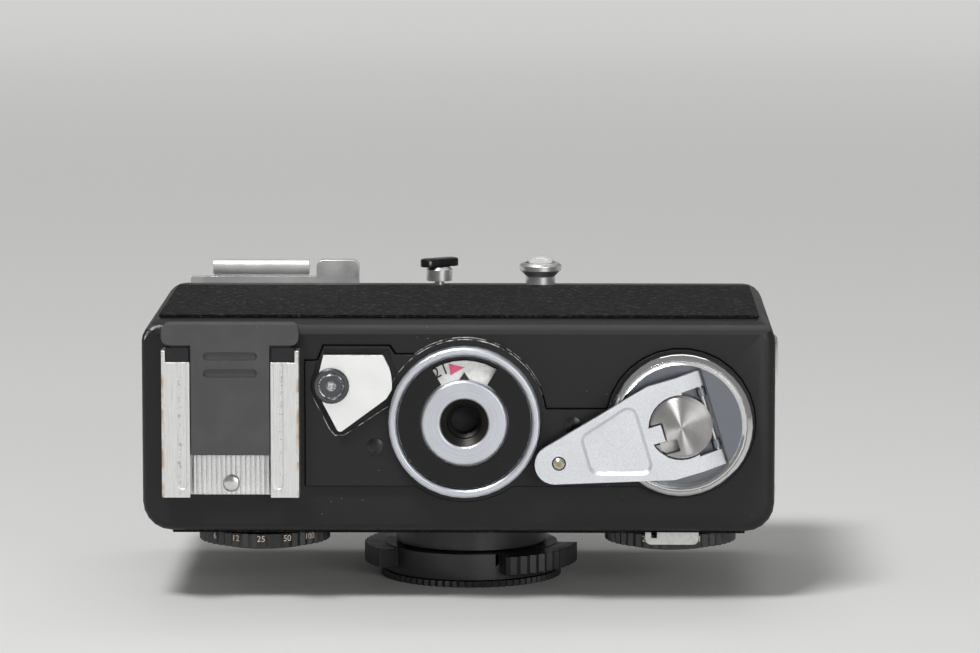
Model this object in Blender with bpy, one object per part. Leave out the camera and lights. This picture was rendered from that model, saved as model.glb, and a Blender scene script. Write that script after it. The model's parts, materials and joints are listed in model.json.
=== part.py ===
"""Compact 35 mm camera lying on its collapsed lens: base towards -Y, top towards +Y, back up (+Z)."""

import math

import bmesh
import bpy
from mathutils import Vector

MM = 0.001

# Body and its shells
BODY_WIDTH = 97 * MM
BODY_HEIGHT = 53 * MM
BODY_DEPTH = 32.4 * MM
LENS_STAND = 11 * MM
FRONT_CORNER = 4.5 * MM
BACK_CORNER = 3.2 * MM
RIM_ROUND = 1.5 * MM
SHELL_WALL = 1.2 * MM
BASE_WALL = 1.3 * MM
TOP_COVER_HEIGHT = 8 * MM
BACK_LIP = 0.6 * MM
SKIN = 0.4 * MM
SKIN_INSET = 2.4 * MM
BACK_SKIN_RISE = 5.4 * MM
SHOULDER_DEEP = 5.2 * MM
SHOULDER_DROP = 1.8 * MM

# Clearances
SEAM = 0.2 * MM
FLAT_GAP = 0.1 * MM
RUN_GAP = 0.3 * MM
OVERCUT = 1 * MM

# Base plate, film counter and tripod bush
PLATE_PROUD = 0.9 * MM
PLATE_INSIDE = 2.4 * MM
PLATE_MARGIN = 0.9 * MM
KNOB_MARGIN = 0.4 * MM
PLATE_GAP = 0.9 * MM
PLATE_HIGH = 10.1 * MM
PLATE_BUMP = 1.3 * MM
PLATE_DIP = 1 * MM
PLATE_EASE = 0.9 * MM
PLATE_LOW = 10.1 * MM
TONGUE_HIGH = 1.7 * MM
COUNTER_X = 1 * MM
COUNTER_RISE = 1.2 * MM
COUNTER_RADIUS = 11.6 * MM
COUNTER_RIM = 1.25 * MM
COUNTER_PROUD = 3.6 * MM
COUNTER_FACE = 0.8 * MM
COUNTER_DIAL = 0.6 * MM
COUNTER_DIAL_DROP = 0.45 * MM
WINDOW_REACH = 9.8 * MM
WINDOW_HALF_ANGLE = math.radians(31)
BUSH_RADIUS = 6.6 * MM
BUSH_SHANK = 4.6 * MM
BUSH_FACE = 1.6 * MM
THREAD_RADIUS = 2.6 * MM
THREAD_LEAD = 3.9 * MM

# Back lock lever
LOCK_RISE = 6.7 * MM
LOCK_SET_SHARE = 0.36
LOCK_REACH_SHARE = 0.68
LOCK_TIP_SHARE = 0.485
LOCK_TIP_SET_SHARE = 0.096
LOCK_TIP_ROUND_SHARE = 0.037
LOCK_SHOULDER_SHARE = 0.345
LOCK_CROWN_SHARE = 0.58
LOCK_HEEL_SHARE = 0.617
LOCK_HEEL_DROP_SHARE = 0.147
LOCK_ROOT_SHARE = 0.176
LOCK_SCREW_SHARE = 0.202
LOCK_BORE_SHARE = 0.096
LOCK_THICK = 0.9 * MM
LOCK_SCREW_HIGH = 0.5 * MM
LOCK_POCKET = 0.4 * MM

# Flash shoe and its cover
SHOE_INSET = 3.4 * MM
SHOE_WIDTH = 20.9 * MM
SHOE_LENGTH = 20.8 * MM
SHOE_RISE = 0.1 * MM
SHOE_FLOOR = 0.8 * MM
SHOE_SLOT = 2.1 * MM
SHOE_LIP = 0.95 * MM
SHOE_SIDE = 1.2 * MM
SHOE_MOUTH = 12.3 * MM
LIP_GROOVE = 1.4 * MM
LIP_GROOVE_SET = 1.2 * MM
LIP_GROOVE_DEEP = 0.2 * MM
LIP_GROOVE_END = 2 * MM
WALL_RISE = 1.8 * MM
SPRING_HIGH = 2.2 * MM
SPRING_THICK = 0.7 * MM
SHOE_RIB_COUNT = 16
SHOE_RIB = 0.3 * MM
SHOE_SHEET = 0.4 * MM
RIB_LENGTH = 6.2 * MM
CONTACT_RADIUS = 1.15 * MM
CONTACT_SET = 1.9 * MM
TONGUE_END = 0.4 * MM
FLANGE_STAND = 2.6 * MM
FLANGE_LENGTH = 3.2 * MM
FLANGE_ROUND = 1.1 * MM
GRIP_LENGTH = 8.2 * MM
GRIP_WIDTH = 1.3 * MM
GRIP_DEEP = 0.4 * MM
GRIP_SET = 1.7 * MM
GRIP_STEP = 2.6 * MM

# Rewind knob and folding crank
KNOB_INSET = 14.5 * MM
KNOB_RISE = 0.8 * MM
KNOB_RADIUS = 11 * MM
KNOB_RIM = 1.6 * MM
KNOB_PROUD = 3.7 * MM
KNOB_FLOOR = 0.7 * MM
KNOB_SHAFT = 2.6 * MM
HUB_RADIUS = 4.8 * MM
HUB_SLOT = 1.6 * MM
HUB_SLOT_REACH = 2.2 * MM
HUB_POCKET = 1.8 * MM
HUB_PROUD = 5.1 * MM
HUB_DOME = 0.5 * MM
CRANK_TURN = math.radians(163.3)
CRANK_REACH = 20.1 * MM
CRANK_PIN = 19.4 * MM
CRANK_TIP = 3 * MM
CRANK_HALF = 7.45 * MM
CRANK_SHOULDER = 4.5 * MM
CRANK_BEND = 1.5 * MM
CRANK_THICK = 1.1 * MM
CRANK_PRESS = 0.35 * MM
CRANK_SLOPE = 0.5 * MM
PANEL_NEAR = 7.35 * MM
PANEL_FAR = 13.7 * MM
PANEL_NEAR_HALF = 3.8 * MM
PANEL_FAR_HALF = 1.9 * MM
PANEL_ROUND = 1.1 * MM
HINGE_SET = 4.4 * MM
HINGE_PIN = 0.35 * MM
KNUCKLE = 0.7 * MM
ARM_INSIDE = 5.1 * MM
LUG_OUTSIDE = 4.7 * MM
LUG_INSIDE = 3.5 * MM
TIP_PIN = 0.9 * MM
TIP_PIN_HIGH = 0.45 * MM
FORK_LENGTH = 6 * MM
FORK_SLOT = 1.4 * MM

# Film chamber
GATE_WIDTH = 36 * MM
GATE_HEIGHT = 24 * MM
GATE_SIDE = 1 * MM
GATE_LAND = 2.6 * MM
FILM_DROP = 2.2 * MM
PLATE_THICK = 1 * MM
PLATE_OVERLAP = 3 * MM
WELL_WALL = 1 * MM
WELL_REACH = 2 * MM
SPOOL_X = 10.3 * MM
SPOOL_RISE = 1.7 * MM
SPOOL_CORE = 5.4 * MM
SPOOL_FLANGE = 7.2 * MM
SPOOL_DISC = 1.2 * MM
SPOOL_SHAFT = 1.8 * MM
SPROCKET_DROP = 6.2 * MM
SPROCKET_CORE = 4.4 * MM
SPROCKET_TIP = 5.9 * MM
SPROCKET_TEETH = 8
SPROCKET_BAND = 1.8 * MM
FILM_PITCH = 28 * MM

# Lens
LENS_X = 1.5 * MM
LENS_Y = 0.5 * MM
TUBE_RADIUS = 11.9 * MM
TUBE_WALL = 1.1 * MM
TUBE_END = 7.6 * MM
MOUNT_RADIUS = 15.4 * MM
MOUNT_HIGH = 1.2 * MM
BORE_GAP = 1.8 * MM
GUIDE_HIGH = 3 * MM
FRONT_RING_RADIUS = 14.3 * MM
FRONT_RING_HIGH = 0.95 * MM
FRONT_RING_TEETH = 75
FRONT_RING_BORE = 11.6 * MM
TOOTH_DEPTH = 0.35 * MM
FOCUS_RADIUS = 13.7 * MM
FOCUS_HIGH = 4.15 * MM
PAD_RADIUS = 16.9 * MM
PAD_HIGH = 3 * MM
PAD_HALF_ANGLE = math.radians(33)
PAD_ANGLES = (math.radians(-37), math.radians(180))
PAD_RIBS = 11
PAD_RIB_DEPTH = 0.45 * MM
GLASS_FRONT = 7.4 * MM
GLASS_REAR = 6.2 * MM
GLASS_EDGE = 1.6 * MM
GLASS_DOME = 1.3 * MM
GLASS_SET = 1.6 * MM
IRIS_SET = 9 * MM
IRIS_THICK = 1.2 * MM
IRIS_OPENING = 4.5 * MM
IRIS_BLADES = 5

# Front dials
DIAL_RADIUS = 10.2 * MM
DIAL_HIGH = 2.1 * MM
DIAL_TEETH = 44
DIAL_CAP_RADIUS = 7 * MM
DIAL_CAP = 0.7 * MM
DIAL_LEFT_INSET = 18.1 * MM
DIAL_RIGHT_INSET = 15.7 * MM
DIAL_LIFT = 12.3 * MM
BRACKET_WIDTH = 8.2 * MM
BRACKET_HIGH = 1.9 * MM
BRACKET_THICK = 0.6 * MM
BRACKET_NOTCH = 0.9 * MM

# Top cover controls
LEVER_LIFT = 0.4 * MM
LEVER_THICK = 1.3 * MM
LEVER_DISC = 7.6 * MM
LEVER_SHAFT = 2.2 * MM
LEVER_LEFT = 3.8 * MM
LEVER_RIGHT = 21 * MM
LEVER_LIP = 0.3 * MM
LEVER_BAND = 5.2 * MM
RIDGE_HIGH = 2.3 * MM
RIDGE_GROOVE = 0.4 * MM
RIDGE_THICK = 2.4 * MM
RIDGE_INSET = 3.6 * MM
RIDGE_END = 1.1 * MM
TIP_LENGTH = 7 * MM
TIP_THICK = 2.6 * MM
LEVER_SCREW = 3.6 * MM
LEVER_SCREW_HIGH = 0.8 * MM
BUTTON_INSET = 18.5 * MM
BUTTON_RADIUS = 3.2 * MM
BUTTON_STEM = 2 * MM
BUTTON_HIGH = 1.5 * MM
BUTTON_TRAVEL = 1.4 * MM
COLLAR_RADIUS = 5 * MM
COLLAR_HIGH = 1.2 * MM
LENS_LOCK_STEP = 9.5 * MM
LENS_LOCK_RADIUS = 2.4 * MM
LENS_LOCK_HIGH = 1.9 * MM
METER_X = -4 * MM
METER_WIDTH = 13 * MM
METER_DEPTH = 5 * MM
FINDER_X = 12.4 * MM
FINDER_WIDTH = 9 * MM
FINDER_TALL = 5 * MM
GLASS_THICK = 1 * MM
CELL_X = 2 * MM
CELL_RADIUS = 2 * MM
EYEPIECE_DROP = 4.2 * MM
EYEPIECE_RADIUS = 3.4 * MM
EYEPIECE_WAIST = 2.4 * MM
EYEPIECE_BORE = 1.7 * MM
EYEPIECE_HIGH = 3.2 * MM
EYEPIECE_DOME = 1.2 * MM
RELEASE_X = -4 * MM
RELEASE_BOSS = 2.1 * MM
RELEASE_BOSS_HIGH = 2.2 * MM
RELEASE_PIN = 0.8 * MM
RELEASE_BAR = 1.3 * MM
RELEASE_LENGTH = 6.6 * MM
RELEASE_TURN = math.radians(32)

# Strap lug
LUG_REACH = 1.25 * MM
LUG_LENGTH = 8.2 * MM
LUG_WIDTH = 5 * MM
LUG_RISE = 7.6 * MM
LUG_SLOT = 2.2 * MM
LUG_SHANK = 1.4 * MM

# Where the driving sizes put the planes of the body
HALF_WIDTH = BODY_WIDTH / 2
BASE_Y = -BODY_HEIGHT / 2
TOP_Y = BODY_HEIGHT / 2
FRONT_Z = LENS_STAND
BACK_Z = FRONT_Z + BODY_DEPTH
MID_Z = (FRONT_Z + BACK_Z) / 2
SPLIT_Y = TOP_Y - TOP_COVER_HEIGHT
SPLIT_Z = BACK_Z - BACK_CORNER - BACK_LIP
SKIN_Z = BACK_Z + FLAT_GAP + SKIN
PLATE_FACE = BASE_Y - PLATE_PROUD
INNER_BASE = BASE_Y + PLATE_INSIDE
FILM_Z = BACK_Z - SHELL_WALL - FILM_DROP
INNER_FRONT = FRONT_Z + SHELL_WALL + SEAM
INNER_SIDE = HALF_WIDTH - SHELL_WALL - SEAM
COUNTER_Z = MID_Z + COUNTER_RISE
LOCK_Z = MID_Z + LOCK_RISE
SHOE_X = -HALF_WIDTH + SHOE_INSET + SHOE_WIDTH / 2
SHOE_RIGHT = SHOE_X + SHOE_WIDTH / 2
LOCK_ROOM = COUNTER_X - COUNTER_RADIUS - SHOE_RIGHT
LOCK_X = SHOE_RIGHT + LOCK_SET_SHARE * LOCK_ROOM
LOCK_REACH = LOCK_REACH_SHARE * LOCK_ROOM
LOCK_TIP = LOCK_TIP_SHARE * LOCK_ROOM
LOCK_TIP_SET = LOCK_TIP_SET_SHARE * LOCK_ROOM
LOCK_TIP_ROUND = LOCK_TIP_ROUND_SHARE * LOCK_ROOM
LOCK_SHOULDER = LOCK_SHOULDER_SHARE * LOCK_ROOM
LOCK_CROWN = LOCK_CROWN_SHARE * LOCK_ROOM
LOCK_HEEL = LOCK_HEEL_SHARE * LOCK_ROOM
LOCK_HEEL_DROP = LOCK_HEEL_DROP_SHARE * LOCK_ROOM
LOCK_ROOT = LOCK_ROOT_SHARE * LOCK_ROOM
LOCK_SCREW = LOCK_SCREW_SHARE * LOCK_ROOM
LOCK_BORE = LOCK_BORE_SHARE * LOCK_ROOM
SHOE_Z = MID_Z + SHOE_RISE
SHOE_FACE = BASE_Y - FLAT_GAP
SHOE_TOP = SHOE_Z + SHOE_LENGTH / 2
KNOB_X = HALF_WIDTH - KNOB_INSET
BUTTON_X = HALF_WIDTH - BUTTON_INSET
LENS_LOCK_X = BUTTON_X - LENS_LOCK_STEP
KNOB_Z = MID_Z + KNOB_RISE
CRANK_BED = BASE_Y - max(KNOB_PROUD, COUNTER_PROUD) - RUN_GAP
KNOB_BED = PLATE_FACE - RUN_GAP - KNOB_FLOOR
HINGE_Y = KNOB_BED - RUN_GAP - KNUCKLE
SPOOL_AXIS_X = -HALF_WIDTH + SPOOL_X
SPOOL_AXIS_Z = MID_Z + SPOOL_RISE
GATE_LEFT = LENS_X - GATE_WIDTH / 2 - GATE_SIDE
GATE_RIGHT = LENS_X + GATE_WIDTH / 2 + GATE_SIDE
WELL_TOP = SPLIT_Y + WELL_REACH
EYEPIECE_Y = TOP_Y - EYEPIECE_DROP
LEVER_Y = TOP_Y + LEVER_LIFT
DIAL_Y = BASE_Y + DIAL_LIFT
DIAL_BACK = FRONT_Z - FLAT_GAP - SKIN - RUN_GAP
LOWEST_Y = CRANK_BED - CRANK_THICK - TIP_PIN_HIGH
BUTTON_TOP = TOP_Y + BUTTON_TRAVEL + RUN_GAP + BUTTON_HIGH
HIGHEST_Y = max(BUTTON_TOP, LEVER_Y + max(LEVER_THICK + LEVER_SCREW_HIGH, TIP_THICK, RIDGE_THICK))

# Finishes: colour, roughness, metallic
BLACK_PAINT = ((0.012, 0.012, 0.013), 0.38, 0.0)
LEATHERETTE = ((0.014, 0.014, 0.015), 0.72, 0.0)
CHROME = ((0.82, 0.82, 0.81), 0.14, 1.0)
SATIN = ((0.72, 0.72, 0.71), 0.34, 1.0)
DARK_METAL = ((0.08, 0.08, 0.085), 0.4, 1.0)
BLACK_METAL = ((0.02, 0.02, 0.021), 0.36, 0.6)
GREY_PLASTIC = ((0.05, 0.05, 0.052), 0.5, 0.0)
WHITE_DIAL = ((0.8, 0.8, 0.77), 0.5, 0.0)
BRASS = ((0.62, 0.46, 0.2), 0.32, 1.0)
GLASS = ((0.75, 0.8, 0.85), 0.05, 0.0)


def clear_scene():
    """Remove every object, so the script can be run again."""
    for thing in list(bpy.data.objects):
        bpy.data.objects.remove(thing, do_unlink=True)


def spot(axis, first, second, along):
    """A point from its two coordinates across an axis and the one along it."""
    if axis == "x":
        return Vector((along, first, second))
    if axis == "y":
        return Vector((first, along, second))
    return Vector((first, second, along))


def arc(centre, radius, start, end, steps):
    """Points on an arc, ends included, from one angle to another."""
    points = []
    for step in range(steps + 1):
        angle = start + (end - start) * step / steps
        points.append((centre[0] + radius * math.cos(angle), centre[1] + radius * math.sin(angle)))
    return points


def circle(centre, radius, steps):
    """Points round a whole circle."""
    return arc(centre, radius, 0, math.tau * (steps - 1) / steps, steps - 1)


def rectangle(left, right, low, high):
    """The four corners of a rectangle, anticlockwise."""
    return [(left, low), (right, low), (right, high), (left, high)]


def rounded(left, right, low, high, low_radius, high_radius, steps=5):
    """A rectangle whose lower and upper corners have their own radii."""
    quarter = math.pi / 2
    points = arc((right - low_radius, low + low_radius), low_radius, -quarter, 0, steps)
    points += arc((right - high_radius, high - high_radius), high_radius, 0, quarter, steps)
    points += arc((left + high_radius, high - high_radius), high_radius, quarter, 2 * quarter, steps)
    points += arc((left + low_radius, low + low_radius), low_radius, 2 * quarter, 3 * quarter, steps)
    return points


def toothed(centre, radius, depth, count, start=0, end=math.tau, closed=True):
    """An outline whose radius drops by a depth between teeth."""
    points = []
    for step in range(count * 2 + (0 if closed else 1)):
        angle = start + (end - start) * step / (count * 2)
        reach = radius if step % 2 == 0 else radius - depth
        points.append((centre[0] + reach * math.cos(angle), centre[1] + reach * math.sin(angle)))
    return points


def prism(outline, axis, low, high):
    """A straight solid with this outline, between two places along an axis."""
    shape = bmesh.new()
    corners = [shape.verts.new(spot(axis, first, second, low)) for first, second in outline]
    grown = bmesh.ops.extrude_face_region(shape, geom=[shape.faces.new(corners)])
    moved = [part for part in grown["geom"] if isinstance(part, bmesh.types.BMVert)]
    bmesh.ops.translate(shape, verts=moved, vec=spot(axis, 0, 0, high - low))
    bmesh.ops.recalc_face_normals(shape, faces=shape.faces[:])
    return shape


def tapered(first, last, axis, low, high):
    """A solid between two outlines with the same count of points, one at each end."""
    shape = bmesh.new()
    lower = [shape.verts.new(spot(axis, across, up, low)) for across, up in first]
    upper = [shape.verts.new(spot(axis, across, up, high)) for across, up in last]
    shape.faces.new(lower)
    shape.faces.new(upper)
    for index in range(len(first)):
        shape.faces.new((lower[index - 1], lower[index], upper[index], upper[index - 1]))
    bmesh.ops.recalc_face_normals(shape, faces=shape.faces[:])
    return shape


def turned(profile, axis, centre, steps=40):
    """A turned solid from radius and height pairs; ends at radius 0 close on the axis."""
    shape = bmesh.new()
    corners = [shape.verts.new(spot(axis, radius, 0, height)) for radius, height in profile]
    edges = [shape.edges.new(pair) for pair in zip(corners, corners[1:])]
    if profile[0][0] > 0 or profile[-1][0] > 0:
        edges.append(shape.edges.new((corners[-1], corners[0])))
    bmesh.ops.spin(
        shape, geom=corners + edges, cent=(0, 0, 0), axis=spot(axis, 0, 0, 1),
        angle=math.tau, steps=steps, use_merge=True,
    )
    bmesh.ops.remove_doubles(shape, verts=shape.verts[:], dist=0.000001)
    bmesh.ops.recalc_face_normals(shape, faces=shape.faces[:])
    bmesh.ops.translate(shape, verts=shape.verts[:], vec=spot(axis, centre[0], centre[1], 0))
    return shape


def round_rim(shape, axis, place, width, steps=3):
    """Round the edges that lie in one plane across an axis."""
    index = "xyz".index(axis)
    rim = [edge for edge in shape.edges if all(abs(v.co[index] - place) < OVERCUT / 100 for v in edge.verts)]
    bmesh.ops.bevel(shape, geom=rim, offset=width, segments=steps, profile=0.5, affect="EDGES")
    return shape


def finish(thing, look):
    """Give a piece its own material."""
    colour, roughness, metallic = look
    paint = bpy.data.materials.new(thing.name)
    paint.use_nodes = True
    shader = paint.node_tree.nodes["Principled BSDF"]
    shader.inputs["Base Color"].default_value = (*colour, 1)
    shader.inputs["Roughness"].default_value = roughness
    shader.inputs["Metallic"].default_value = metallic
    thing.data.materials.append(paint)


def piece(name, shape, look, origin=(0, 0, 0), parent="camera"):
    """Make a named piece whose origin, on its joint axis where it moves, is given in its parent."""
    bmesh.ops.translate(shape, verts=shape.verts[:], vec=-Vector(origin))
    mesh = bpy.data.meshes.new(name)
    shape.to_mesh(mesh)
    shape.free()
    mesh.shade_smooth()
    mesh.set_sharp_from_angle(angle=math.radians(35))
    thing = bpy.data.objects.new(name, mesh)
    bpy.context.collection.objects.link(thing)
    thing.location = origin
    thing.parent = bpy.data.objects[parent]
    if look:
        finish(thing, look)
    return thing


def combine(target, shape, operation="DIFFERENCE", parent="camera"):
    """Cut a shape from a piece, or join it on, with a Boolean."""
    tool = piece(f"{target.name}_tool_{len(target.modifiers)}", shape, None, parent=parent)
    tool.hide_render = True
    tool.display_type = "WIRE"
    step = target.modifiers.new(tool.name, "BOOLEAN")
    step.operation = operation
    step.solver = "EXACT"
    step.object = tool


def frame(name, place, parent=None, turn=0):
    """An empty that carries pieces, turned about Y where asked."""
    holder = bpy.data.objects.new(name, None)
    bpy.context.collection.objects.link(holder)
    holder.location = place
    holder.rotation_euler = (0, turn, 0)
    if parent:
        holder.parent = bpy.data.objects[parent]


def body_outline(inset):
    """The body's section across its height, drawn in by an inset."""
    return rounded(
        -HALF_WIDTH + inset, HALF_WIDTH - inset, FRONT_Z + inset, BACK_Z - inset,
        FRONT_CORNER - inset, BACK_CORNER - inset,
    )


def plateau_outline(grow):
    """The inner base's outline: a band, a tongue, and rounds about the counter and the knob."""
    counter = (COUNTER_X, COUNTER_Z)
    knob = (KNOB_X, KNOB_Z)
    counter_reach = COUNTER_RADIUS + PLATE_MARGIN + grow
    knob_reach = KNOB_RADIUS + KNOB_MARGIN + grow
    left = SHOE_RIGHT + PLATE_GAP - grow
    low = COUNTER_Z - PLATE_LOW - grow
    high = COUNTER_Z + PLATE_HIGH + grow
    tongue = COUNTER_Z + TONGUE_HIGH + grow
    lower = math.asin((low - COUNTER_Z) / counter_reach)
    knob_lower = math.asin((low - KNOB_Z) / knob_reach)
    knob_upper = math.asin((tongue - KNOB_Z) / knob_reach)
    points = [(left, low)]
    points += arc(counter, counter_reach, -math.pi - lower, lower, 10)
    points += arc(knob, knob_reach, -math.pi - knob_lower, math.pi - knob_upper, 24)
    start = math.asin((tongue - COUNTER_Z) / counter_reach)
    end = math.pi - math.asin((high - COUNTER_Z) / counter_reach)
    points += arc(counter, counter_reach, start, end, 14)
    right = LOCK_X + LOCK_CROWN + PLATE_EASE
    points += [(right + PLATE_EASE + grow, high), (right + grow, high + PLATE_BUMP)]
    shoulder = LOCK_X - LOCK_ROOT / 2
    points += [(shoulder - grow, high + PLATE_BUMP), (shoulder - PLATE_EASE - grow, high - PLATE_DIP)]
    points.append((left, high - PLATE_DIP))
    return points


def lock_outline(grow):
    """The lock lever's fan: a broad swept edge, a pointed lower tip and a round root at its pivot."""
    centre = (LOCK_X, LOCK_Z)
    points = [(LOCK_X + LOCK_HEEL + grow, LOCK_Z - LOCK_HEEL_DROP - grow)]
    points += arc(centre, LOCK_REACH + grow, math.radians(-4), math.radians(18), 4)
    points.append((LOCK_X + LOCK_CROWN + grow, LOCK_Z + LOCK_SHOULDER + grow))
    points.append((LOCK_X - LOCK_ROOT / 2 - grow, LOCK_Z + LOCK_SHOULDER + grow))
    points += arc(centre, LOCK_ROOT + grow, math.radians(150), math.radians(205), 4)
    tip = (LOCK_X + LOCK_TIP_SET, LOCK_Z - LOCK_TIP)
    points += arc(tip, LOCK_TIP_ROUND + grow, math.radians(215), math.radians(300), 2)
    return points


def make_shells():
    """Front shell, top cover, back with base, and their leatherette."""
    quarter = math.pi / 2
    inner = FRONT_CORNER - SHELL_WALL
    right = HALF_WIDTH - FRONT_CORNER
    low = FRONT_Z + FRONT_CORNER
    outline = [(HALF_WIDTH, SPLIT_Z)]
    outline += arc((right, low), FRONT_CORNER, 0, -quarter, 5)
    outline += arc((-right, low), FRONT_CORNER, -quarter, -2 * quarter, 5)
    outline += [(-HALF_WIDTH, SPLIT_Z), (-HALF_WIDTH + SHELL_WALL, SPLIT_Z)]
    outline += arc((-right, low), inner, -2 * quarter, -quarter, 5)
    outline += arc((right, low), inner, -quarter, 0, 5)
    outline.append((HALF_WIDTH - SHELL_WALL, SPLIT_Z))
    front = piece("front_shell", prism(outline, "y", BASE_Y + BASE_WALL + SEAM, SPLIT_Y), BLACK_PAINT)
    lens_hole = circle((LENS_X, LENS_Y), TUBE_RADIUS + RUN_GAP, 40)
    combine(front, prism(lens_hole, "z", FRONT_Z - OVERCUT, INNER_FRONT + OVERCUT))

    skin_low = FRONT_Z - FLAT_GAP - SKIN
    skin_side = HALF_WIDTH - FRONT_CORNER
    panel = rectangle(-skin_side, skin_side, BASE_Y + SKIN_INSET, SPLIT_Y - SEAM)
    skin = piece("front_leatherette", prism(panel, "z", skin_low, FRONT_Z - FLAT_GAP), LEATHERETTE)
    mount_hole = circle((LENS_X, LENS_Y), MOUNT_RADIUS + SEAM, 40)
    combine(skin, prism(mount_hole, "z", skin_low - OVERCUT, FRONT_Z + OVERCUT))

    back = prism(body_outline(0), "y", BASE_Y, SPLIT_Y)
    back = piece("back_cover", round_rim(back, "y", BASE_Y, RIM_ROUND), BLACK_PAINT)
    floor = BASE_Y + BASE_WALL
    room = prism(body_outline(SHELL_WALL), "y", floor, SPLIT_Y + OVERCUT)
    combine(back, round_rim(room, "y", floor, SHOULDER_DROP))
    reach = HALF_WIDTH + OVERCUT
    mouth = rectangle(-reach, reach, FRONT_Z - OVERCUT, SPLIT_Z + SEAM)
    combine(back, prism(mouth, "y", floor, SPLIT_Y + 2 * OVERCUT))
    combine(back, prism(plateau_outline(SEAM), "y", BASE_Y - OVERCUT, floor + OVERCUT))
    bow = (SHOULDER_DEEP ** 2 + SHOULDER_DROP ** 2) / (2 * SHOULDER_DROP)
    centre = (BASE_Y + SHOULDER_DEEP, BACK_Z - bow)
    shoulder = arc(centre, bow, quarter, quarter + math.asin(SHOULDER_DEEP / bow), 6)
    outside = BASE_Y - OVERCUT
    shoulder += [(outside, BACK_Z - SHOULDER_DROP), (outside, BACK_Z + OVERCUT), (centre[0], BACK_Z + OVERCUT)]
    combine(back, prism(shoulder, "x", -reach, reach))

    side = HALF_WIDTH - SKIN_INSET
    panel = rectangle(-side, side, BASE_Y + BACK_SKIN_RISE, SPLIT_Y - SEAM)
    piece("back_leatherette", prism(panel, "z", BACK_Z + FLAT_GAP, SKIN_Z), LEATHERETTE)
    make_top_cover()


def make_top_cover():
    """The top cover with the holes for its controls."""
    top = prism(body_outline(0), "y", SPLIT_Y + SEAM, TOP_Y)
    top = piece("top_cover", round_rim(top, "y", TOP_Y, RIM_ROUND), BLACK_PAINT)
    ceiling = TOP_Y - SHELL_WALL
    combine(top, prism(body_outline(SHELL_WALL), "y", SPLIT_Y - OVERCUT, ceiling))
    holes = (
        (SPOOL_AXIS_X, SPOOL_AXIS_Z, LEVER_SHAFT),
        (BUTTON_X, MID_Z, BUTTON_STEM),
        (LENS_LOCK_X, MID_Z, LENS_LOCK_RADIUS),
    )
    for x, z, radius in holes:
        hole = circle((x, z), radius + RUN_GAP, 20)
        combine(top, prism(hole, "y", ceiling - OVERCUT, TOP_Y + OVERCUT))
    half = METER_WIDTH / 2 + SEAM
    tall = METER_DEPTH / 2 + SEAM
    meter = rectangle(METER_X - half, METER_X + half, MID_Z - tall, MID_Z + tall)
    combine(top, prism(meter, "y", ceiling - OVERCUT, TOP_Y + OVERCUT))
    half = FINDER_WIDTH / 2 + SEAM
    tall = FINDER_TALL / 2 + SEAM
    finder = rectangle(FINDER_X - half, FINDER_X + half, EYEPIECE_Y - tall, EYEPIECE_Y + tall)
    combine(top, prism(finder, "z", FRONT_Z - OVERCUT, INNER_FRONT + OVERCUT))
    cell = circle((CELL_X, EYEPIECE_Y), CELL_RADIUS + SEAM, 20)
    combine(top, prism(cell, "z", FRONT_Z - OVERCUT, INNER_FRONT + OVERCUT))
    wall = BACK_Z - SHELL_WALL
    eyepiece = circle((FINDER_X, EYEPIECE_Y), EYEPIECE_WAIST + SEAM, 24)
    combine(top, prism(eyepiece, "z", wall - OVERCUT, BACK_Z + OVERCUT))
    pin = circle((RELEASE_X, EYEPIECE_Y), RELEASE_PIN + RUN_GAP, 12)
    combine(top, prism(pin, "z", wall - OVERCUT, BACK_Z + OVERCUT))


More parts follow.
